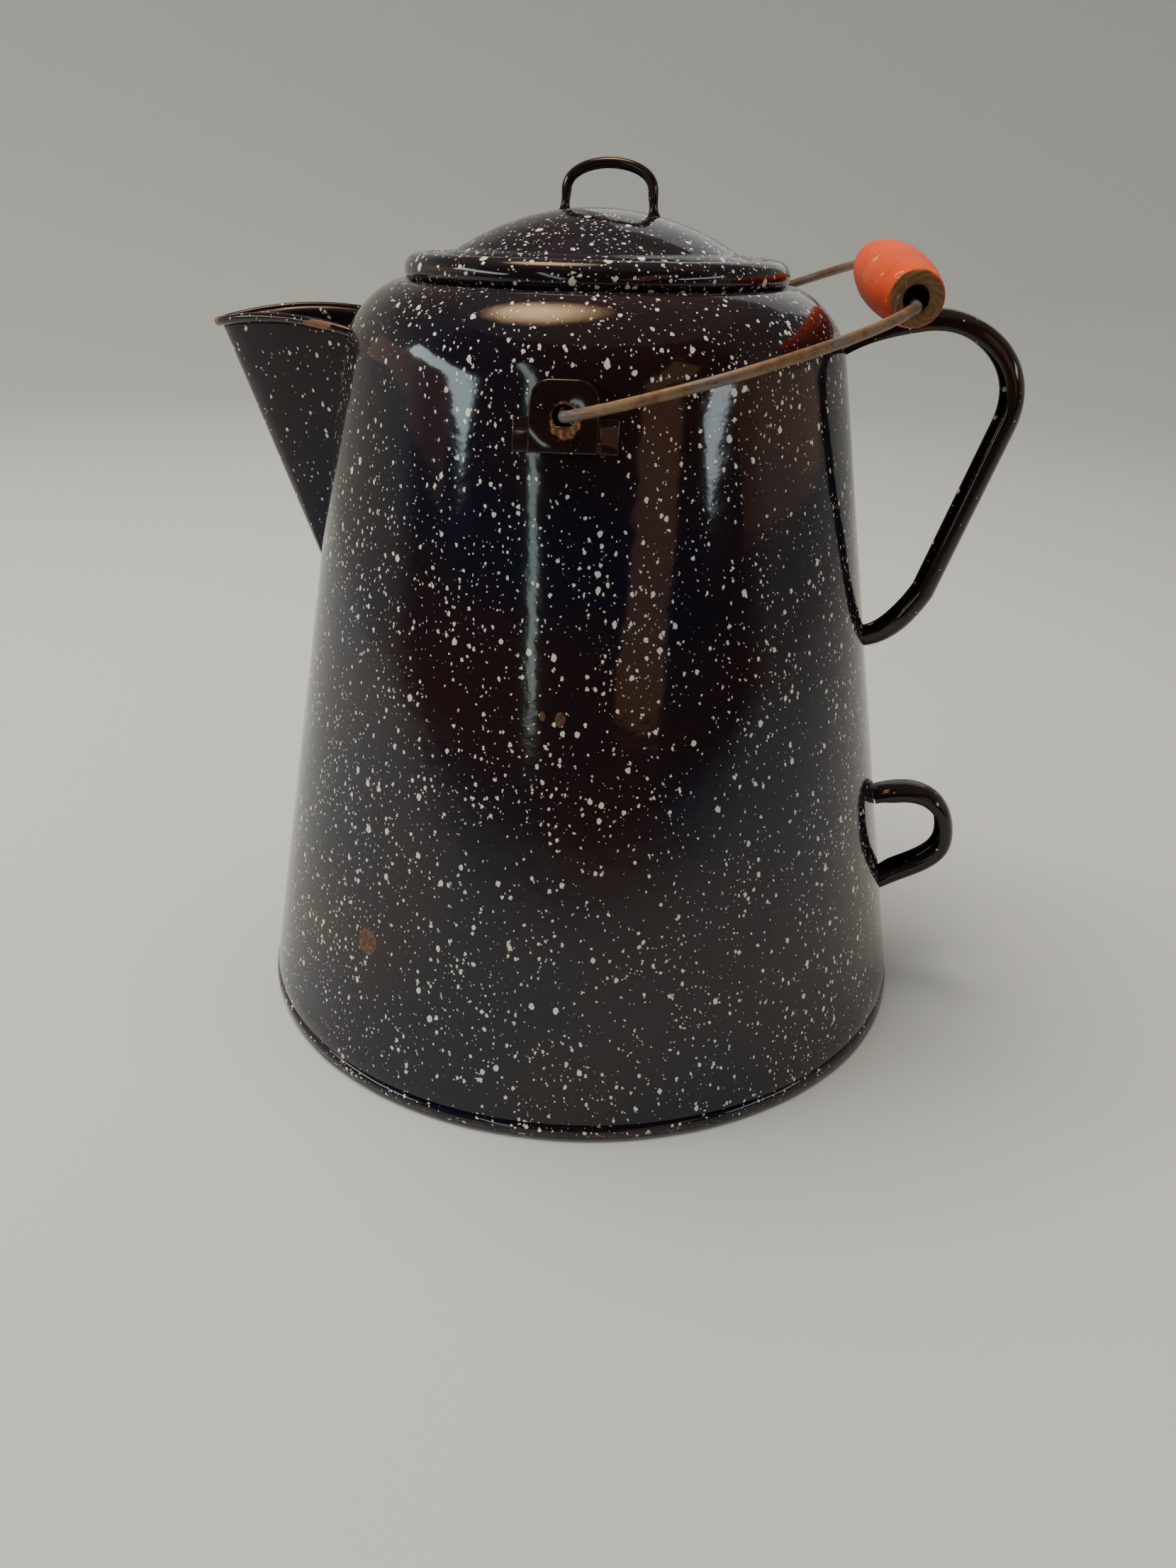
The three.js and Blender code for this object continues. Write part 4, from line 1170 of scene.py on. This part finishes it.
aluminium = spun_aluminium()
pump_sheet, tube_diameter = 0.9, 9.6
tube_radius = tube_diameter / 2
bell_low, bell_high = (edge.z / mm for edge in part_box("pump_foot"))
tube_low, tube_high = (edge.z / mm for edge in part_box("pump_tube"))
bell_radius, bell_height = 44.0, 20.0
bell_neck = tube_radius + 0.3 + pump_sheet
bell_bm = bmesh.new()
bell_curve = bezier_line((
    (bell_radius * 0.9, bell_low + 6.5), (bell_radius * 0.55, bell_low + 14.0),
    (bell_neck + 6, bell_low + bell_height - 4), (bell_neck, bell_low + bell_height + 1.5),
), 20)
spun(bell_bm, [
    (bell_radius, bell_low + 0.1), (bell_radius, bell_low + 2.4), (bell_radius - 0.5, bell_low + 3.6),
    *((p.x, p.z) for p in bell_curve), (bell_neck, bell_low + bell_height + 6), (bell_neck, bell_high),
], 96)
face_outwards(bell_bm, (0, 0, bell_low))
bell = piece("pump_bell", bell_bm, "pump", aluminium, ["pump_foot"], sharp=50)
thicken(bell, pump_sheet, edge=0)
inlets = bmesh.new()
inlet_count = 6
for i in range(inlet_count):
    spoke = Matrix.Rotation(2 * math.pi * (i + 0.5) / inlet_count, 4, "Z")
    spot = Matrix.Translation(Vector((bell_radius, 0, bell_low + 0.6)) * mm)
    cylinder(inlets, 2.2, 12, spoke @ spot @ Matrix.Rotation(math.pi / 2, 4, "Y"), 16)
drilled(bell, inlets)

lip = 0.5
riser_bm = turned([
    (tube_radius - pump_sheet, tube_low), (tube_radius, tube_low), (tube_radius, tube_high - lip),
    (tube_radius - 0.15, tube_high - 0.1), (tube_radius - 0.4, tube_high),
    (tube_radius - pump_sheet, tube_high - 0.2), (tube_radius - pump_sheet, tube_low),
], 48)
piece("riser_tube", riser_bm, "pump", aluminium, ["pump_tube"])

stop_low, stop_high = (edge.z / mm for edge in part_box("basket_stop"))
stop_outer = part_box("basket_stop")[1].x / mm
stop_round = (stop_high - stop_low) / 2
stop_bm = turned([
    (tube_radius + 0.1, stop_low),
    *arc(stop_outer - stop_round, stop_low + stop_round, stop_round, -90, 90, 12),
    (tube_radius + 0.1, stop_high), (tube_radius + 0.1, stop_low),
], 48)
piece("crimped_stop", stop_bm, "pump", aluminium, ["basket_stop"])


# ---- Basket and its cover
# A deep aluminium basket with a perforated floor and a rolled rim, a sleeve that slides on the
# riser, and a perforated cover that spreads the water over the ground coffee.
basket_low, basket_high = (edge.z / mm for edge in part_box("basket"))
basket_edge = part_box("basket")[1].x / mm
rim_out = 2.2
basket_radius = basket_edge - rim_out
sleeve_inner = tube_radius + 0.7
sleeve_outer = sleeve_inner + pump_sheet
hole_radius = 1.6


def drill_rings(rings, height):
    bm = bmesh.new()
    for radius, count in rings:
        for i in range(count):
            spoke = Matrix.Rotation(2 * math.pi * i / count, 4, "Z")
            cylinder(bm, hole_radius, 12, spoke @ Matrix.Translation((radius * mm, 0, height * mm)), 14)
    return bm


floor_bend = 4
basket_bm = turned([
    (sleeve_outer + 0.2, basket_low), (20, basket_low), (basket_radius - 1.5 - floor_bend, basket_low),
    *arc(basket_radius - 1.5 - floor_bend, basket_low + floor_bend, floor_bend, -80, 0, 8),
    (basket_radius - 0.1, basket_high - 3.2),
    *arc(basket_radius + rim_out - 1.1, basket_high - 1.1, 1.1, 200, 0, 12)[::-1][:1],
    (basket_radius + rim_out, basket_high - 1.1),
    *arc(basket_radius + rim_out - 1.1, basket_high - 1.1, 1.1, 0, 90, 6)[1:],
    (basket_radius - 0.4, basket_high - 0.1),
    (basket_radius - pump_sheet, basket_high - 1.0),
    (basket_radius - pump_sheet - 0.2, basket_high - 4),
    (basket_radius - 1.5 - pump_sheet, basket_low + floor_bend),
    *arc(basket_radius - 1.5 - floor_bend, basket_low + floor_bend, floor_bend - pump_sheet, -10, -90, 6),
    (20, basket_low + pump_sheet), (sleeve_outer + 0.2, basket_low + pump_sheet),
    (sleeve_outer + 0.2, basket_low),
], 96)
basket = piece("coffee_basket", basket_bm, "basket", aluminium, ["basket"])
drilled(basket, drill_rings(((16, 12), (22, 18), (28, 24), (34, 30)), basket_low))

sleeve_low, sleeve_high = (edge.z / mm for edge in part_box("basket_sleeve"))
sleeve_bm = turned([
    (sleeve_inner, sleeve_low), (sleeve_outer, sleeve_low), (sleeve_outer, sleeve_high - 0.3),
    (sleeve_outer - 0.3, sleeve_high), (sleeve_inner + 0.2, sleeve_high), (sleeve_inner, sleeve_high - 0.3),
    (sleeve_inner, sleeve_low),
], 48)
piece("guide_sleeve", sleeve_bm, "basket", aluminium, ["basket_sleeve"])

cover_low, cover_high = (edge.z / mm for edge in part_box("basket_cover"))
cover_radius = basket_radius - pump_sheet - 0.8
cover_rest = basket_high + 0.3
cover_bm = turned([
    (sleeve_inner, cover_high), (sleeve_outer + 4, cover_high), (sleeve_outer + 6, cover_high - 0.3),
    (sleeve_outer + 9, cover_high - 1.6), (26, cover_rest + pump_sheet + 0.5),
    (cover_radius - 2, cover_rest + pump_sheet), (basket_edge - 0.6, cover_rest + pump_sheet),
    (basket_edge, cover_rest + pump_sheet / 2), (basket_edge - 0.4, cover_rest), (cover_radius, cover_rest),
    (cover_radius, cover_low), (cover_radius - pump_sheet, cover_low),
    (cover_radius - pump_sheet, cover_rest),
    (26, cover_rest - 0.4), (sleeve_outer + 9, cover_high - 1.6 - pump_sheet),
    (sleeve_outer + 4, cover_high - pump_sheet), (sleeve_inner, cover_high - pump_sheet),
    (sleeve_inner, cover_high),
], 96)
cover = piece("spreader_cover", cover_bm, "cover", aluminium, ["basket_cover"])
drilled(cover, drill_rings(((20, 16), (26, 20), (32, 26), (37, 30)), cover_rest))
